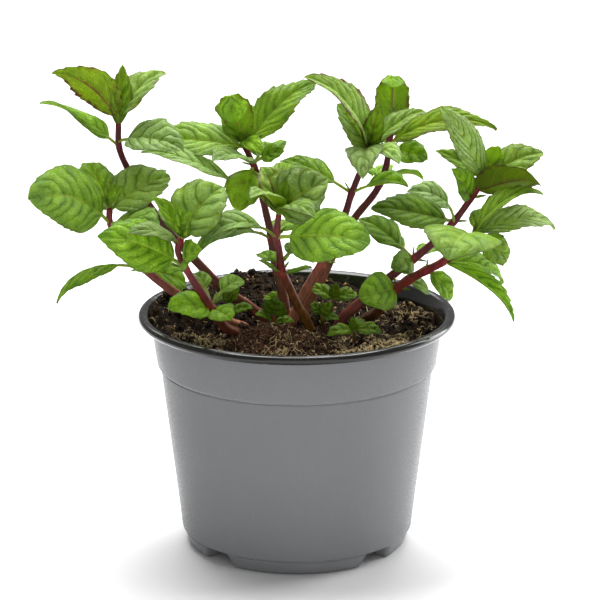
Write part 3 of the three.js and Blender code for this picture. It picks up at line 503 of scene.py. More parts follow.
def leaf_material():
    g = Graph("mint_leaf_green")
    tint = LEAF_TINTS
    along, across, phase, pale = g.colours("blade")
    upper, young, chance, tone = g.colours("looks")
    brown, relief_share, darkness, _ = g.colours("marks")

    # Side veins and the cushions between them, the rib, and a fine network of small veins
    off = g.math("ABSOLUTE", g.line(across, 2.0, -1.0))
    between = g.math("PINGPONG", g.times(phase, PHASE_RANGE), 0.5)
    blade = g.ramp(along, -0.01, 0.05)
    fading = g.times(g.ramp(off, 0.97, 0.55), g.ramp(along, 0.96, 0.74), blade)
    vein_and_shade = g.times(g.ramp(between, 0.065, 0.0), fading, g.ramp(g.noise(4), 0.30, 0.62, 0.35, 1.0))
    cushion_and_highlight = g.times(g.ramp(between, 0.05, 0.42), fading)
    rib = g.times(g.ramp(off, 0.065, 0.015), g.ramp(along, 1.0, 0.55))
    net_and_shade = g.ramp(g.cells(1.15, "DISTANCE_TO_EDGE"), 0.085, 0.0)
    patches = g.noise(7)
    mottle = g.noise(2.2, 4.0)
    fine = g.noise(0.8, 2.0)

    # The upper side, and a painted whitish sheen between its veins
    fresh = g.mix(g.ramp(patches, 0.30, 0.70), tint["deep"], tint["bright"])
    # Painted highlight: the raised cushions between the veins are painted lighter
    fresh = g.mix(g.times(cushion_and_highlight, 0.5), fresh, tint["cushion_and_highlight"])
    # Painted shade: the sunken veins and their fine network are painted darker on the upper side
    fresh = g.mix(g.times(vein_and_shade, darkness), fresh, tint["vein_and_shade"])
    fresh = g.mix(g.times(net_and_shade, 0.65), fresh, tint["net_and_shade"])
    fresh = g.mix(g.times(rib, 0.70), fresh, tint["rib"])
    # Painted sheen: a mottled whitish reflection, painted lighter between the veins
    sheen_mottle = g.times(g.ramp(mottle, 0.28, 0.58, 0.3, 1.0), g.ramp(between, 0.03, 0.16))
    fresh = g.mix(g.times(pale, g.line(sheen_mottle, 0.60, 0.15)), fresh, tint["painted_sheen_colour"])

    # The underside
    under = g.mix(patches, tint["under"], tint["under_light"])
    under = g.mix(g.times(vein_and_shade, darkness, 1.3), under, tint["under_vein"])
    under = g.mix(g.times(net_and_shade, 0.3), under, tint["under_net"])
    under = g.mix(g.times(rib, 0.8), under, tint["under_rib"])
    green = g.mix(upper, under, fresh)

    # Olive young leaves, brown ribs and rims, and the stalk
    olive = g.times(young, g.ramp(patches, 0.30, 0.66, 0.4, 1.0), 0.6)
    green = g.mix(olive, green, tint["olive"])
    green = g.mix(g.times(vein_and_shade, young, 0.9), green, tint["young_vein"])
    green = g.mix(g.times(rib, brown), green, tint["brown_rib"])
    rim = g.times(g.ramp(off, 0.70, 0.96), g.ramp(g.noise(2.6, 3.0), 0.36, 0.60))
    blush = g.times(g.ramp(g.noise(4, 3.0), 0.54, 0.72, 0.0, 0.35), fading)
    stained = g.math("MAXIMUM", g.times(young, g.math("MAXIMUM", rim, blush)), g.times(brown, rim))
    green = g.mix(stained, green, tint["stain"])
    green = g.mix(g.times(g.ramp(off, 0.93, 0.99), 0.45, blade), green, tint["edge"])
    stalk = g.mix(g.times(brown, 0.7), tint["stalk"], tint["brown_stalk"])
    green = g.mix(blade, stalk, green)

    # Each leaf's lightness: its own tone, with painted shade on leaves low in the plant and painted
    # light on some others
    lightness_and_shade = g.line(g.line(tone, 2.0, -1.0), 0.7, g.line(chance, 0.44, 0.95))
    shade = g.node("CombineColor", {"Red": lightness_and_shade, "Green": lightness_and_shade, "Blue": lightness_and_shade}).outputs[0]
    green = g.mix(1.0, green, shade, "MULTIPLY")

    raised = g.line(fine, 0.6, g.times(cushion_and_highlight, 0.5))
    sunken = g.line(net_and_shade, 0.5, g.times(vein_and_shade, 0.9))
    normal = g.bump(g.times(g.math("SUBTRACT", raised, sunken), relief_share), 0.75, 1.0)
    surface = g.surface(green, g.ramp(fine, 0.3, 0.7, 0.30, 0.46), 0.24, normal)
    glow = g.mix(1.0, green, tint["glow"], "MULTIPLY")
    through = g.node("BsdfTranslucent", {"Color": glow, "Normal": normal}).outputs[0]
    return g.finish(g.node("MixShader", {0: 0.40, 1: surface, 2: through}).outputs[0])


def stem_material():
    g = Graph("mint_stem_bark")
    bark = g.node("Attribute", attribute_name="bark").outputs["Color"]
    streaks = g.noise(1.1, 4.0, (1, 1, 0.12))
    lighter = g.mix(1.0, bark, (2.3, 1.8, 1.6), "MULTIPLY")
    colour = g.mix(g.ramp(streaks, 0.40, 0.70, 0.0, 0.6), bark, lighter)
    flecks = g.ramp(g.noise(0.5, 2.0), 0.64, 0.76, 0.0, 0.3)
    colour = g.mix(flecks, colour, (0.30, 0.17, 0.10))
    roughness = g.ramp(streaks, 0.3, 0.7, 0.28, 0.45)
    return g.finish(g.surface(colour, roughness, 0.26, g.bump(streaks, 0.2, 0.7)))


def pot_material():
    g = Graph("pot_grey_plastic")
    grain = g.noise(0.5, 2.0)
    scuffs = g.ramp(g.noise(1.2, 5.0, (1, 1, 0.2)), 0.60, 0.72, 0.0, 0.10)
    colour = g.mix(g.noise(30, 2.0), (0.198, 0.201, 0.207), (0.212, 0.215, 0.222))
    colour = g.mix(scuffs, colour, (0.30, 0.30, 0.30))
    roughness = g.ramp(grain, 0.3, 0.7, 0.24, 0.32)
    return g.finish(g.surface(colour, roughness, 0.05, g.bump(grain, 0.002, 0.4)))


def lining_material():
    g = Graph("pot_black_plastic")
    dust = g.ramp(g.noise(2.2, 5.0), 0.56, 0.74, 0.0, 0.22)
    colour = g.mix(dust, (0.0070, 0.0065, 0.0055), (0.045, 0.038, 0.028))
    roughness = g.ramp(dust, 0.0, 0.22, 0.15, 0.42)
    return g.finish(g.surface(colour, roughness, 0.5, g.bump(g.noise(0.5, 3.0), 0.012, 0.4)))


def soil_material():
    g = Graph("potting_soil_peat")
    _, red, chance, _ = g.colours("crumb")
    clumps = g.noise(5, 4.0)
    grit = g.noise(0.6, 4.0)
    colour = g.mix(g.ramp(grit, 0.40, 0.68), (0.003, 0.002, 0.0015), (0.036, 0.021, 0.011))
    colour = g.mix(g.ramp(clumps, 0.46, 0.68, 0.0, 0.6), colour, (0.060, 0.034, 0.016))
    heap = g.mix(g.ramp(grit, 0.40, 0.62), (0.014, 0.006, 0.004), (0.170, 0.085, 0.048))
    colour = g.mix(red, colour, heap)
    colour = g.mix(g.ramp(chance, 0.82, 0.97), colour, (0.720, 0.470, 0.180))
    specks = g.ramp(g.cells(0.9, "F1"), 0.16, 0.08, 0.0, 0.7)
    specks = g.times(specks, g.ramp(clumps, 0.50, 0.62))
    colour = g.mix(specks, colour, (0.42, 0.28, 0.12))
    return g.finish(g.surface(colour, 0.9, 0.1, g.bump(grit, 0.6, 1.0)))


def fibre_material():
    g = Graph("potting_soil_fibre")
    _, _, chance, _ = g.colours("crumb")
    tan = g.mix(g.ramp(chance, 0.0, 0.8), (0.080, 0.040, 0.016), (1.00, 0.78, 0.42))
    colour = g.mix(g.ramp(g.noise(1.5), 0.4, 0.7, 0.0, 0.5), tan, (0.060, 0.034, 0.016))
    return g.finish(g.surface(colour, 0.8, 0.3, g.bump(g.noise(0.3), 0.1, 0.6)))


def floor_material():
    g = Graph("pale_floor")
    colour = g.mix(g.noise(400), (0.89, 0.89, 0.89), (0.91, 0.91, 0.91))
    return g.finish(g.surface(colour, 0.8, 0.1))


# Stems

CURVE_STEPS = 30
STEM_SIDES = 24
STEM_STEP = 1.1
# The power in a stem's round-cornered square, the depth of its grooves and its swelling at leaves
SQUARENESS = 3.4
GROOVE = 0.07
SWELLING = 0.16
# A fine stem's width as a share of its solid's
STEM_FIT = 0.97
BUD_LEAVES = 6
BUD_SIZE = 7.0
# Leaves this close together along a stem grow from one place
NODE_GAP = 0.035
# The part of a stem where small leaves grow over the pairs
LEAFLETS_FROM, LEAFLETS_TO = 0.4, 0.9


def curve_points(route):
    """A centripetal Catmull-Rom curve through the buried foot and the route."""
    knots = np.array(route, float)
    knots = np.vstack([knots[0] - [0, 0, BURIED], knots])
    ends = np.vstack([2 * knots[0] - knots[1], knots, 2 * knots[-1] - knots[-2]])
    gaps = np.linalg.norm(np.diff(ends, axis=0), axis=1) ** 0.5
    w = np.arange(CURVE_STEPS)[:, None] / CURVE_STEPS
    spans = []
    for i in range(len(knots) - 1):
        p0, p1, p2, p3 = ends[i:i + 4]
        d0, d1, d2 = gaps[i:i + 3]
        m1 = ((p1 - p0) / d0 - (p2 - p0) / (d0 + d1) + (p2 - p1) / d1) * d1
        m2 = ((p2 - p1) / d1 - (p3 - p1) / (d1 + d2) + (p3 - p2) / d2) * d1
        spans.append(p1 + m1 * w + (3 * (p2 - p1) - 2 * m1 - m2) * w ** 2
                     + (2 * (p1 - p2) + m1 + m2) * w ** 3)
    return np.vstack([*spans, knots[-1:]])


class Curve:
    """A stem's middle line, read by share of its length."""

    def __init__(self, route):
        self.points = curve_points(route)
        steps = np.linalg.norm(np.diff(self.points, axis=0), axis=1)
        self.reach = np.concatenate([[0], np.cumsum(steps)])
        self.length = self.reach[-1]

    def at(self, share):
        place = np.asarray(share) * self.length
        return np.stack([np.interp(place, self.reach, self.points[:, k]) for k in range(3)], -1)

    def ahead(self, share):
        share = np.asarray(share, float)
        return unit(self.at(np.minimum(share + 0.005, 1)) - self.at(np.maximum(share - 0.005, 0)))


def carried_frames(tangents):
    """Two directions square to each tangent, carried along without twist."""
    axis = np.eye(3)[np.argmin(np.abs(tangents[0]))]
    normal = np.cross(tangents[0], unit(np.cross(tangents[0], axis)))
    normals = []
    for tangent in tangents:
        normal = unit(normal - tangent * np.dot(normal, tangent))
        normals.append(normal)
    normals = np.array(normals)
    return normals, np.cross(tangents, normals)


def stem_skin(skins, curve, base, top, nodes, colours):
    """A square stem with rounded corners, grooved faces and a swelling at each pair of leaves."""
    steps = int(curve.length / STEM_STEP)
    shares = np.linspace(0, 1, steps)
    centres = curve.at(shares)
    normals, binormals = carried_frames(curve.ahead(shares))
    turn = np.arange(STEM_SIDES) * 2 * math.pi / STEM_SIDES
    square = np.abs(np.cos(turn)) ** SQUARENESS + np.abs(np.sin(turn)) ** SQUARENESS
    square = square ** (-1 / SQUARENESS) * (1 - GROOVE * np.cos(2 * turn) ** 6)
    half = (base + (top - base) * shares) / 2 * STEM_FIT
    for node in nodes:
        near = (shares - node) * curve.length
        half = half * (1 + SWELLING * np.exp(-(near / 1.5) ** 2))
    half = half * (1 + 0.02 * np.sin(shares * curve.length * 0.9))
    half = half * (1 - smooth(-1.5, 0, (shares - 1) * curve.length) * 0.75)
    reach = half[:, None] * square
    points = placed(centres, (normals, reach * np.cos(turn)), (binormals, reach * np.sin(turn)))
    foot, head = np.array(colours)
    above = np.clip((shares * curve.length - BURIED) / (curve.length - BURIED), 0, 1)
    bark = foot + (head - foot) * smooth(0.0, 0.75, above)[:, None]
    for node in nodes:
        near = np.exp(-((shares - node) * curve.length / 2.2) ** 2)
        bark = bark * (1 + near[:, None] * [0.7, 0.1, 0.2])
    bark = np.repeat(np.hstack([bark, np.ones((steps, 1))]), STEM_SIDES, axis=0)
    skins.add(points.reshape(-1, 3), tube_faces(steps, STEM_SIDES), bark=bark)


# Leaves

# A leaf's columns of points, as shares of its half width, and the width below which it has half
# as many
ACROSS = np.array([0.05, 0.12, 0.21, 0.31, 0.42, 0.53, 0.64, 0.74, 0.83, 0.90, 0.955, 1.0])
NARROW = 6
# The distances along a leaf between rows of points, side veins and teeth
ROW_STEP = 0.57
STALK_ROW_STEP = 0.8
VEIN_SPACING = 5.6
TOOTH_SPACING = 3.7
# How far the tip of a leaf that isn't folded hangs down
TIP_DROOP = math.radians(14)


def creases(rows, columns, step, seed):
    """Noise over a leaf's grid of points, so that no two of its veins run alike."""
    return np.array([[lump((i * step, j * step * 1.6, seed), 2.0, 2) for j in range(columns)]
                     for i in range(rows)])


def skin_faces(rows, columns):
    """The faces of a closed skin: the grids of its upper and its lower side, and the rim."""
    count = rows * columns
    faces = grid_faces(rows, columns)
    faces += [face[::-1] for face in grid_faces(rows, columns, count)]
    for i in range(rows - 1):
        a, b = i * columns, (i + 1) * columns
        faces.append((a, b, b + count, a + count))
        c, d = a + columns - 1, b + columns - 1
        faces.append((d, c, c + count, d + count))
    last = (rows - 1) * columns
    for j in range(columns - 1):
        faces.append((j + 1, j, j + count, j + 1 + count))
        faces.append((last + j, last + j + 1, last + j + 1 + count, last + j + count))
    return faces


def leaf_skin(skins, curve, form, chance):
    """A leaf as one closed skin: a channelled stalk that opens into a quilted, toothed blade."""
    width = form["width"]
    slightness = min(1, width / 10)
    folded = form["tip_fold"] != 0
    base = curve.at(form["at"])
    tip = np.array(form["tip"], float)
    if folded:
        tip = base + (tip - base) / form["fold_at"]
    chord = tip - base
    length = np.linalg.norm(chord)
    ahead = chord / length
    face = np.array(form["face"], float)
    up = unit(face - ahead * np.dot(face, ahead))
    side = np.cross(ahead, up)
    crest = (base + tip) / 2 + up * form["arch"] * length + side * form["sweep"] * length

    # Rows along the rib: first the stalk, from -1 to 0, then the blade, from 0 to 1
    stalk = form["stalk"]
    blade_length = length * (1 - stalk)
    blade_rows = int(np.clip(blade_length / ROW_STEP, 24, 72))
    stalk_rows = int(np.clip(length * stalk / STALK_ROW_STEP, 3, 16))
    close = 1 + 0.5 * form["full"] + 0.5 * form["blunt"]
    along = np.concatenate([np.linspace(-1, 0, stalk_rows, endpoint=False),
                            1 - (1 - np.linspace(0, 1, blade_rows)) ** close])[:, None]
    on_blade = np.clip(along, 0, 1)
    s = np.where(along < 0, (along + 1) * stalk, stalk + (1 - stalk) * along)
    middle = (1 - s) ** 2 * base + 2 * s * (1 - s) * crest + s ** 2 * tip
    tangent = unit(2 * (1 - s) * (crest - base) + 2 * s * (tip - crest))
    right = unit(np.cross(tangent, up))
    above = unit(np.cross(right, tangent))

    # The tip's fold, as a turn of the rib towards its upper side
    past = along - form["fold_at"]
    bend = math.radians(form["tip_fold"]) * smooth(-0.05, 0.04, past)
    bend = bend - TIP_DROOP * smooth(0.55, 1.0, along) * (not folded)
    steps = np.linalg.norm(np.diff(middle, axis=0), axis=1)[:, None]
    cos, sin = np.cos(bend), np.sin(bend)
    tangent, above = tangent * cos + above * sin, above * cos - tangent * sin
    path = (tangent[1:] + tangent[:-1]) / 2 * steps
    middle = np.vstack([middle[:1], middle[0] + np.cumsum(path, axis=0)])
    if not folded:
        middle = middle + smooth(0, 1, s) * (tip - middle[-1])

    # The outline: how far the blade or the stalk reaches to each side, and its teeth
    rng = np.random.default_rng(int(chance * 1e6))
    side_columns = ACROSS if width > NARROW else ACROSS[1::2]
    v = np.concatenate([-side_columns[::-1], [0], side_columns])
    off = np.abs(v)
    rows, columns = len(along), len(v)
    skew = math.log(0.5) / math.log(WIDEST_AT)
    blunt, point = 1.05 - 0.45 * form["full"], 1.12 - 0.32 * form["full"]
    point = point + (0.52 - point) * form["blunt"]
    power = blunt + (point - blunt) * smooth(0.6, 1.0, on_blade)
    half = width / 2 * np.sin(math.pi * on_blade ** skew).clip(0) ** power
    stem_half = 0.74 + 0.42 * smooth(-0.75, -1.0, along)
    petiole = min(1, width / 9) * stem_half * (1 - smooth(0, 0.6, along))
    half = np.sqrt(half ** 2 + petiole ** 2) + 0.10
    if folded:
        half = half * (1 - 0.5 * np.exp(-(past / 0.10) ** 2))
        half = half * (1 + (form["flap"] - 1) * smooth(0, 0.12, past))
    teeth = max(3, round(blade_length / TOOTH_SPACING))
    beats = on_blade * teeth + np.where(v < 0, 0, rng.uniform(0, 0.6))
    which = np.minimum(beats.astype(int), teeth)
    sizes = rng.uniform(0.55, 1.35, (2, teeth + 1))
    size = np.where(v < 0, sizes[0][which], sizes[1][which]) * form["teeth"]
    beat = beats % 1
    saw = beat ** 1.3 * (1 - smooth(0.80, 1.0, beat))
    saw = saw * (smooth(0.05, 0.16, along) * (1 - smooth(0.90, 0.99, along)))
    outer = np.clip((off - 0.80) / 0.20, 0, 1) ** 1.5
    tooth = (0.30 + 0.022 * width) * saw * size * outer
    x = half * v + tooth * np.sign(v)

    # The relief: a V over the rib, quilting between the veins and a ripple at the edge
    opening = smooth(-0.1, 0.12, along)
    flatness = 1 - folded * np.exp(-(past / 0.16) ** 4)
    fold = math.radians(form["fold"]) * opening
    pairs = float(np.clip(round(blade_length / VEIN_SPACING), 3, 7))
    phase = (on_blade - form["reach"] * off ** 1.35) * pairs
    phase = phase + 0.30 * creases(rows, columns, 0.25, chance * 90 + 7)
    quilt = np.abs(np.sin(math.pi * phase)) ** 0.6
    quilt = quilt * (1 + 0.5 * creases(rows, columns, 0.3, chance * 90 + 3))
    depth = float(np.clip(0.042 * width, 0.12, 0.75)) * form["quilt"]
    inner = smooth(0.0, 0.16, off) * (1 - smooth(0.74, 1.0, off))
    ends = smooth(0.0, 0.10, along) * (1 - smooth(0.80, 0.98, along))
    relief = depth * (quilt - 0.35) * inner * ends
    puff = 0.085 * half * 4 * off * (1 - off) * opening
    groove = -0.35 * np.exp(-(x / 0.55) ** 2) * opening * slightness
    waves = rng.uniform(1.6, 2.8)
    turns = 2 * math.pi * waves * on_blade + (v < 0) * rng.uniform(1, 5) + rng.uniform(0, 6)
    ripple = form["wave"] * width / 14 * off ** 2.6 * opening * np.sin(turns)
    twist = math.radians(rng.uniform(-7, 7) + form["twist"]) * (on_blade - 0.4) * opening
    lift = np.hypot(x, 0.35) - 0.35
    height = (lift * np.sin(fold) + relief + puff + ripple) * flatness
    height = height + x * np.sin(twist) + groove
    height = height + 0.2 * creases(rows, columns, 0.6, chance * 90) * inner * ends

    # Thickness: a round stalk, a keel under the rib, and a thin edge
    round_part = np.sqrt(np.clip(1 - v ** 2, 0.04, 1)) * petiole * 1.5 * (1 - opening)
    keel = 0.45 * np.exp(-(x / 0.5) ** 2) * (1 - 0.7 * on_blade) * slightness
    ridges = 0.14 * np.exp(-((phase - np.round(phase)) / 0.09) ** 2) * inner * ends
    thin = 0.30 - 0.12 * off ** 4
    thick = (thin + keel + ridges) * opening + round_part
    top = placed(middle, (right, x * np.cos(fold)), (tangent, 0.8 * tooth), (above, height),
                 (above, 0.5 * thin * opening + 0.5 * round_part))
    low = top - above[:, None] * thick[..., None]
    points = np.concatenate([top.reshape(-1, 3), low.reshape(-1, 3)])

    # What the material reads: places on the blade, the leaf's own tints, and how much painted
    # sheen, shade and light it gets
    places = np.broadcast_arrays(np.where(along < 0, along * 0.2, along), (v + 1) / 2,
                                 (phase + VEINS_BEFORE) / PHASE_RANGE, form["pale"])
    blade = np.stack(places, -1).reshape(-1, 4)
    young, tone = form["young"], (form["tone"] + 1) / 2
    # The upper side of a bent-over tip is painted lighter: painted light on a side that faces away
    # from the lamps
    upper = [1, young * (0.1 if folded else 1), chance, tone + 0.2 * folded]
    marks = [form["brown"], min(form["quilt"] / 2, 1), form["veins"], 1]
    skins.add(points, skin_faces(rows, columns), blade=np.tile(blade, (2, 1)),
              looks=np.repeat([upper, [0, young, chance, tone]], rows * columns, axis=0),
              marks=np.tile(marks, (2 * rows * columns, 1)))


def bud_leaves(curve, rng):
    """Small young leaves that close over the stem's tip."""
    top = curve.at(1.0)
    ahead = curve.ahead(1.0)
    first = unit(np.cross(ahead, [0.3, -1, 0.2]))
    second = np.cross(ahead, first)
    forms = []
    for i in range(BUD_LEAVES):
        turn = i * math.pi / 2 + (i // 4) * 0.6 + rng.uniform(-0.3, 0.3)
        out = first * math.cos(turn) + second * math.sin(turn)
        reach = BUD_SIZE * (1 - 0.09 * i) * rng.uniform(0.85, 1.1)
        spread = 0.75 - 0.08 * i
        tip = top + ahead * reach * 0.85 + out * reach * spread
        forms.append(leaf(0.985, tuple(tip), reach * 0.42, tuple(ahead * 0.4 - out), arch=-0.12,
                          fold=24, stalk=0.08, full=0.5, young=0.3, pale=0.35, wave=0.2))
    return forms


def node_leaflets(curve, at, rng):
    """The two small leaves in the corners over a pair of leaves."""
    place = curve.at(at)
    ahead = curve.ahead(at)
    first = unit(np.cross(ahead, [0.2, -1, 0.1]))
    forms = []
    for sign in (-1, 1):
        out = first * sign
        reach = rng.uniform(3.6, 5.6)
        tip = place + ahead * reach * 0.8 + out * (2.2 + reach * 0.45)
        forms.append(leaf(min(at + 0.004, 1), tuple(tip), reach * 0.42, tuple(ahead * 0.5 - out),
                          arch=-0.15, fold=22, stalk=0.1, full=0.5, young=0.1, tone=-0.1,
                          wave=0.2))
    return forms


def leaf_nodes(leaves):
    """The places along the stem where leaves grow, each once."""
    places = []
    for at in sorted(form["at"] for form in leaves):
        if not places or at - places[-1] > NODE_GAP:
            places.append(at)
    return places


def leafy_stem(name, node, route, leaves, base, top, colours, rng):
    curve = Curve(route)
    nodes = leaf_nodes(leaves)
    stalks = Skins()
    stem_skin(stalks, curve, base, top, nodes, colours)
    stalks.piece("stalk_" + name, STEM_BARK, "mint_stem", node)
    blades = Skins()
    grown = list(leaves)
    if base == STEM_BASE:
        grown += bud_leaves(curve, rng)
        for at in nodes:
            if LEAFLETS_FROM < at < LEAFLETS_TO:
                grown += node_leaflets(curve, at, rng)
    for form in grown:
        leaf_skin(blades, curve, form, rng.uniform(0, 1))
    blades.piece("leaves_" + name, LEAF_GREEN, "mint_leaf", node)


# The pot

FOOT_RADIUS = 43.9
FOOT_LIFT = 6.0
NOTCH_TOP_HALF_ANGLE = math.radians(5.8)
NOTCH_FOOT_HALF_ANGLE = math.radians(11.2)
POT_SIDES = 160
DRAIN_RADIUS = 3.5
DRAIN_RING = 30


def rounded(corners):
    """An open outline of (radius, height, corner radius) with each corner rounded."""
    points = [np.array(corners[0][:2], float)]
    for before, here, after in zip(corners, corners[1:], corners[2:]):
        a, b, c = (np.array(corner[:2], float) for corner in (before, here, after))
        cut = min(here[2], np.linalg.norm(a - b) * 0.48, np.linalg.norm(c - b) * 0.48)
        start = b + unit(a - b) * cut
        end = b + unit(c - b) * cut
        if cut < 0.01:
            points.append(b)
            continue
        for t in (0, 0.25, 0.5, 0.75, 1):
            points.append((1 - t) ** 2 * start + 2 * t * (1 - t) * b + t ** 2 * end)
    points.append(np.array(corners[-1][:2], float))
    return np.array(points)


def turned_angles():
    """Angles round the pot, closer together at the edges of the four gaps between the feet."""
    turns = list(np.arange(0, 2 * math.pi, 2 * math.pi / POT_SIDES))
    for i in range(4):
        middle = (i + 0.5) * math.pi / 2
        for sign in (-1, 1):
            turns += list(middle + sign * np.linspace(NOTCH_TOP_HALF_ANGLE * 0.9,
                                                      NOTCH_FOOT_HALF_ANGLE * 1.1, 15))
    turns = np.sort(np.array(turns) % (2 * math.pi))
    keep = np.concatenate([[True], np.diff(turns) > 0.004])
    return turns[keep]


def lifted(turns, heights):
    """Heights near the ground, raised in the gaps between the feet."""
    gap = np.abs(turns % (math.pi / 2) - math.pi / 4)
    rise = 1 - smooth(NOTCH_TOP_HALF_ANGLE, NOTCH_FOOT_HALF_ANGLE, gap)
    low = np.clip(1 - heights / FOOT_LIFT, 0, 1)
    return heights[None, :] + rise[:, None] * low[None, :] * (FOOT_LIFT - 0.15)


def turned_shell(outline, turns):
    """A closed body turned from an outline that starts and ends on the axis."""
    inner = outline[1:-1]
    heights = lifted(turns, inner[:, 1])
    count = len(inner)
    x = inner[None, :, 0] * np.cos(turns)[:, None]
    y = inner[None, :, 0] * np.sin(turns)[:, None]
    points = np.stack([x, y, heights], -1).reshape(-1, 3)
    faces = []
    rings = len(turns)
    for i in range(rings):
        for j in range(count - 1):
            a = i * count + j
            b = ((i + 1) % rings) * count + j
            faces.append((a, b, b + 1, a + 1))
    low, high = rings * count, rings * count + 1
    points = np.vstack([points, [[0, 0, outline[0, 1]], [0, 0, outline[-1, 1]]]])
    for i in range(rings):
        a, b = i * count, ((i + 1) % rings) * count
        faces.append((low, b, a))
        faces.append((high, a + count - 1, b + count - 1))
    return points, faces


def bored(body, holes):
    """Cuts the drain holes through a body."""
    cutters = []
    for x, y in holes:
        bpy.ops.mesh.primitive_cylinder_add(vertices=28, radius=DRAIN_RADIUS * MM, depth=4 * MM,
                                            location=(x * MM, y * MM, 6.7 * MM))
        cutters.append(bpy.context.object)
    bpy.ops.object.select_all(action="DESELECT")
    for cutter in cutters:
        cutter.select_set(True)
    bpy.context.view_layer.objects.active = cutters[0]
    bpy.ops.object.join()
    cutter = bpy.context.object
    cut = body.modifiers.new("drain", "BOOLEAN")
    cut.operation = "DIFFERENCE"
    cut.object = cutter
    cut.solver = "EXACT"
    graph = bpy.context.evaluated_depsgraph_get()
    mesh = bpy.data.meshes.new_from_object(body.evaluated_get(graph))
    body.modifiers.clear()
    body.data = mesh
    bpy.data.objects.remove(cutter)


def make_pot():
    """The grey shell and the black lining with its rolled rim."""
    outer = rounded([
        (0, 6.1, 0), (39.5, 6.1, 0.4), (39.5, 0, 0.3), (FOOT_RADIUS, 0, 0.5), (45.1, 1.0, 0.8),
        (46.6, 5.4, 0.3), (46.3, 5.9, 0.2), (47.5, 6.7, 0.5), (55.75, 75.0, 0.6),
        (55.45, 75.5, 0.2), (55.9, 75.9, 0.3), (57.2, 76.7, 0.8),
        (59.55, 93.95, 0.2), (58.98, 93.95, 0.1), (56.62, 76.8, 1.0), (55.22, 75.4, 1.2),
        (46.8, 6.95, 0.4), (0, 6.7, 0),
    ])
    inner = rounded([
        (0, 6.72, 0), (46.7, 6.97, 0.4), (55.14, 75.42, 1.2), (56.54, 76.82, 1.0),
        (58.9, 93.98, 0.1), (59.7, 94.0, 0.1), (63.6, 94.3, 1.2), (65.0, 96.0, 1.4),
        (64.3, 97.6, 0.9), (63.0, 98.0, 0.9), (61.8, 97.9, 0.8), (60.6, 97.2, 1.0),
        (58.3, 93, 2.0), (56, 76.8, 1.0), (54.6, 75.4, 1.2), (46, 7.3, 0.6), (0, 7.3, 0),
    ])
    turns = turned_angles()
    holes = [(0, 0)]
    for i in range(6):
        turn = i * math.pi / 3
        holes.append((DRAIN_RING * math.cos(turn), DRAIN_RING * math.sin(turn)))
    body = piece("pot_body", *turned_shell(outer, turns), pot_material(), "pot_grey", "pot")
    lining = piece("pot_lining", *turned_shell(inner, turns), lining_material(), "pot_black",
                   "pot")
    for shell in (body, lining):
        bored(shell, holes)


# The soil

# The lining's radius at some heights
INSIDE = [(7.3, 46), (75.4, 54.6), (76.8, 56), (93, 58.3), (97.2, 60.6)]
SOIL_TOP = 91
SOIL_RADIUS = 57.5
BANK_HEIGHT = 5.2
BANK_WIDTH = 10
HIGHEST_SOIL = 97.2
# Each heap's or dip's place, radius and height
HEAPS = [
    (-7, -32, 14, 6), (-54, 14, 13, 2.4), (-15, 55, 11, 1.4), (46, -6, 19, -2),
    (-42, -32, 13, 2.2), (28, -38, 10, 1.5), (25, 36, 10, 1.6), (-34, 30, 10, 1.4),
    (4, 22, 10, -1.5),
]
# Loose soil on top of these: each pile's place, radius and height
PILES = [(-9, -26, 12, 3.6), (-52, 15, 8, 2.6), (-22, 49, 10, 2.2), (-21, -15, 6, 2.4)]
# Where fibres lie thick, as a place, a radius and a share of them
FIBRE_PATCHES = [
    (-38, -31, 10, 0.12), (38, -25, 14, 0.36), (25, -40, 15, 0.16), (48, 18, 14, 0.08),
    (-4, -40, 14, 0.10),
]
# A place at the back left with large crumbs, and its radius
BACK_LEFT = (-38, 42, 34)
# How many crumbs lie anywhere, and on each place
CRUMBS = 3000
FRONT_PILE_CRUMBS = 1700
PATCH_CRUMBS = 240
BACK_LEFT_CRUMBS = 220
PILE_CRUMBS = 60
FIBRES = 2400
FIBRE_POINTS = 5
FIBRE_SIDES = 3
SOIL_SIDES = 300
SOIL_RINGS = 110
# The heights of the rings below the soil's edge, and the clearance to the wall there
SKIRT = (92.0, 75.0, 40.0, 7.65)
SKIRT_GAP = 0.35


def inside_radius(height):
    return float(np.interp(height, [z for z, _ in INSIDE], [r for _, r in INSIDE]))


def bump_at(x, y, radius):
    return math.exp(-(x * x + y * y) / (radius * radius))


def soil_height(x, y):
    """The soil's rounded form: heaped at the front, and banked up the wall at the back left."""
    clods = 0.7 * math.sin(0.35 * x + 1.3) * math.cos(0.31 * y) + 0.5 * math.sin(0.4 * y - 0.3 * x)
    heaps = sum(height * bump_at(x - hx, y - hy, radius) for hx, hy, radius, height in HEAPS)
    back_left = float(smooth(0, 0.6, (0.6 * y - 0.8 * x) / SOIL_RADIUS))
    near_wall = bump_at(SOIL_RADIUS - math.hypot(x, y), 0, BANK_WIDTH)
    return min(SOIL_TOP + clods + heaps + BANK_HEIGHT * back_left * near_wall, HIGHEST_SOIL)


def soil_surface(x, y):
    """The soil's height with its piles, clods and grains."""
    rough = 1.5 * lump((x, y, 3), 7.0, 3) + 0.95 * lump((x, y, 9), 2.0, 4)
    piles = sum(height * bump_at(x - px, y - py, radius) for px, py, radius, height in PILES)
    return piles + min(soil_height(x, y) + rough, HIGHEST_SOIL + 0.8 + 0.3 * rough)


def redness(x, y):
    """How far the soil is the front pile's finer and redder peat."""
    return min(1.6 * bump_at(x - PILES[0][0], y - PILES[0][1] + 4, 16), 1)


def wall_distance(angle):
    """How far the soil reaches before it meets the pot's lining."""
    x, y = math.cos(angle), math.sin(angle)
    return inside_radius(soil_surface(SOIL_RADIUS * x, SOIL_RADIUS * y)) - 0.05


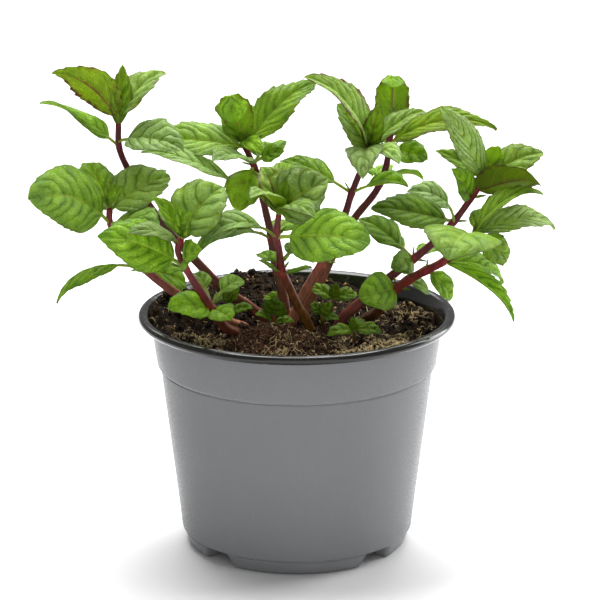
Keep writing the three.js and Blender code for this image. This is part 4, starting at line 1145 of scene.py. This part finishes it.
def spot(rng, patch=None, room=0.9):
    """A random place on the soil, anywhere or near a patch's middle, with room to the wall."""
    while True:
        if patch:
            x, y = rng.normal(patch[0], patch[2] * 0.6), rng.normal(patch[1], patch[2] * 0.6)
        else:
            x, y = rng.uniform(-60, 60, 2)
        if math.hypot(x, y) < inside_radius(soil_surface(x, y)) - room:
            return x, y


def make_soil_mass(material):
    """The soil's rough top, and its sides down to the pot's floor."""
    angles = [2 * math.pi * k / SOIL_SIDES for k in range(SOIL_SIDES)]
    reaches = [wall_distance(angle) for angle in angles]
    rings = []
    for share in np.linspace(0.004, 1, SOIL_RINGS):
        ring = []
        for angle, reach in zip(angles, reaches):
            x, y = reach * share * math.cos(angle), reach * share * math.sin(angle)
            ring.append((x, y, soil_surface(x, y)))
        rings.append(ring)
    edges = [edge for _, _, edge in rings[-1]]
    for height in SKIRT:
        ring = []
        for angle, edge in zip(angles, edges):
            low = min(height, edge - 1.5)
            radius = inside_radius(low) - SKIRT_GAP
            ring.append((radius * math.cos(angle), radius * math.sin(angle), low))
        rings.append(ring)
    points = np.array(rings).reshape(-1, 3)
    faces = [face[::-1] for face in tube_faces(len(rings), SOIL_SIDES)]
    tints = [(0, redness(x, y), 0.3, 1) for x, y, _ in points]
    piece("soil_mass", points, faces, material, "potting_soil", "potting_soil", {"crumb": tints})


def make_crumbs(rng, material):
    """Loose crumbs: dark on the front pile, light among the fibres and large on other piles."""
    bpy.ops.mesh.primitive_ico_sphere_add(subdivisions=1, radius=1)
    ball = bpy.context.object
    ball_points = np.array([vertex.co for vertex in ball.data.vertices])
    ball_faces = [tuple(face.vertices) for face in ball.data.polygons]
    bpy.data.objects.remove(ball)
    crumbs = Skins()
    places = [None] * CRUMBS + [PILES[0]] * FRONT_PILE_CRUMBS + FIBRE_PATCHES * PATCH_CRUMBS
    places += [BACK_LEFT] * BACK_LEFT_CRUMBS + PILES[1:] * PILE_CRUMBS
    for place in places:
        size = float(np.clip(rng.lognormal(-0.62 if place is None else -0.95, 0.42), 0.22, 1.7))
        low, high = 0, 1.02 - 0.1 * size
        if place in FIBRE_PATCHES:
            low, high = 0.4, 1
            size = size * 0.75
        elif place == PILES[0]:
            high = 0.6
        elif place:
            size, high = size * 2.3, 0.72
        x, y = spot(rng, place, 0.4 + 1.2 * size)
        shape = ball_points * rng.uniform(0.6, 1.25, (len(ball_points), 1))
        shape = shape * rng.uniform(0.6, 1.2, 3) * size
        turn = np.linalg.qr(rng.normal(size=(3, 3)))[0]
        centre = [x, y, soil_surface(x, y) + size * rng.uniform(0.0, 0.35)]
        tint = np.tile([0, redness(x, y), rng.uniform(low, high), 1], (len(shape), 1))
        crumbs.add(shape @ turn + centre, ball_faces, crumb=tint)
    crumbs.piece("soil_crumbs", material, "potting_soil")


def make_fibres(rng, material):
    """Thin bent fibres on the soil, thick in some places and thin in others."""
    threads = Skins()
    shares = [patch[3] for patch in FIBRE_PATCHES]
    ends = (0, FIBRE_POINTS - 1)
    corners = np.arange(FIBRE_SIDES) * 2 * math.pi / FIBRE_SIDES
    faces = tube_faces(FIBRE_POINTS, FIBRE_SIDES)
    for _ in range(FIBRES):
        pick = rng.choice(len(shares) + 1, p=[*shares, 1 - sum(shares)])
        x, y = spot(rng, FIBRE_PATCHES[pick] if pick < len(shares) else None)
        heading = rng.uniform(0, 2 * math.pi)
        length = rng.uniform(1.2, 5.0)
        turning = rng.uniform(-0.35, 0.35)
        thick = rng.uniform(0.07, 0.16)
        line = []
        for k in range(FIBRE_POINTS):
            height = soil_surface(x, y) + thick + rng.uniform(0.1, 0.8) * (k not in ends)
            line.append([x, y, height])
            heading += turning
            x += math.cos(heading) * length / FIBRE_POINTS
            y += math.sin(heading) * length / FIBRE_POINTS
            room = (inside_radius(height) - 0.5) / max(math.hypot(x, y), 1)
            x, y = x * min(room, 1), y * min(room, 1)
        line = np.array(line)
        normals, binormals = carried_frames(unit(np.gradient(line, axis=0)))
        taper = (thick * np.sin(np.linspace(0.5, math.pi - 0.5, FIBRE_POINTS)))[:, None]
        shape = placed(line, (normals, taper * np.cos(corners)),
                       (binormals, taper * np.sin(corners)))
        tint = np.tile([0, 0, rng.uniform(0, 1), 1], (FIBRE_POINTS * FIBRE_SIDES, 1))
        threads.add(shape.reshape(-1, 3), faces, crumb=tint)
    threads.piece("soil_fibres", material, "potting_soil")


# The whole

LEAF_GREEN = leaf_material()
STEM_BARK = stem_material()
PEAT = soil_material()
rng = np.random.default_rng(7)
for name, (route, leaves) in STEMS.items():
    leafy_stem(name, "stem_" + name, route, leaves, STEM_BASE, STEM_TOP, STEM_COLOURS[name], rng)
for name, (route, leaves) in SHOOTS.items():
    # The shoots are painted darker: painted shade where they grow low among the stems, by the soil
    leaves = [{**form, "tone": -0.4, "quilt": 1.5, "teeth": 1.4} for form in leaves]
    leafy_stem(name, name, route, leaves, SHOOT_BASE, SHOOT_TOP, SHOOT_COLOUR, rng)
make_pot()
make_soil_mass(PEAT)
make_crumbs(rng, PEAT)
make_fibres(rng, fibre_material())


# The floor, the light and the camera

def lamp(name, place, target, size, power):
    """A white rectangular light that faces its target."""
    data = bpy.data.lights.new(name, "AREA")
    data.shape = "RECTANGLE"
    data.size, data.size_y = size
    data.energy = power
    made = bpy.data.objects.new(name, data)
    made.location = place
    made.rotation_euler = (Vector(target) - Vector(place)).to_track_quat("-Z", "Y").to_euler()
    bpy.context.scene.collection.objects.link(made)


floor_mesh = bpy.data.meshes.new("floor")
floor_mesh.from_pydata([(-6, -6, 0), (6, -6, 0), (6, 6, 0), (-6, 6, 0)], [], [(0, 1, 2, 3)])
floor_mesh.materials.append(floor_material())
floor = bpy.data.objects.new("floor", floor_mesh)
bpy.context.scene.collection.objects.link(floor)

world = bpy.data.worlds.new("studio")
bpy.context.scene.world = world
world.use_nodes = True
background = world.node_tree.nodes["Background"]
background.inputs["Color"].default_value = (1, 1, 1, 1)
background.inputs["Strength"].default_value = 0.33

middle = (0, 0, 0.12)
lamp("top_light", (-0.05, 0.35, 1.20), middle, (1.0, 0.8), 25)
lamp("right_light", (0.84, 0.42, 0.42), middle, (0.5, 0.8), 9)
lamp("floor_light", (0.0, 1.9, 1.7), (0.0, 1.0, 0.0), (2.2, 1.4), 28)
lamp("front_light", (0.10, -1.30, 0.07), (0, 0, 0.03), (1.2, 0.8), 3.6)

camera_data = bpy.data.cameras.new("camera")
camera_data.sensor_width = 36
camera_data.lens = 176.6
camera = bpy.data.objects.new("camera", camera_data)
camera.location = (0.0013, -1.1524, 0.4372)
aim = Vector((0.0013, 0, 0.1024)) - camera.location
camera.rotation_euler = aim.to_track_quat("-Z", "Y").to_euler()
bpy.context.scene.collection.objects.link(camera)
bpy.context.scene.camera = camera
bpy.context.scene.view_settings.view_transform = "Standard"
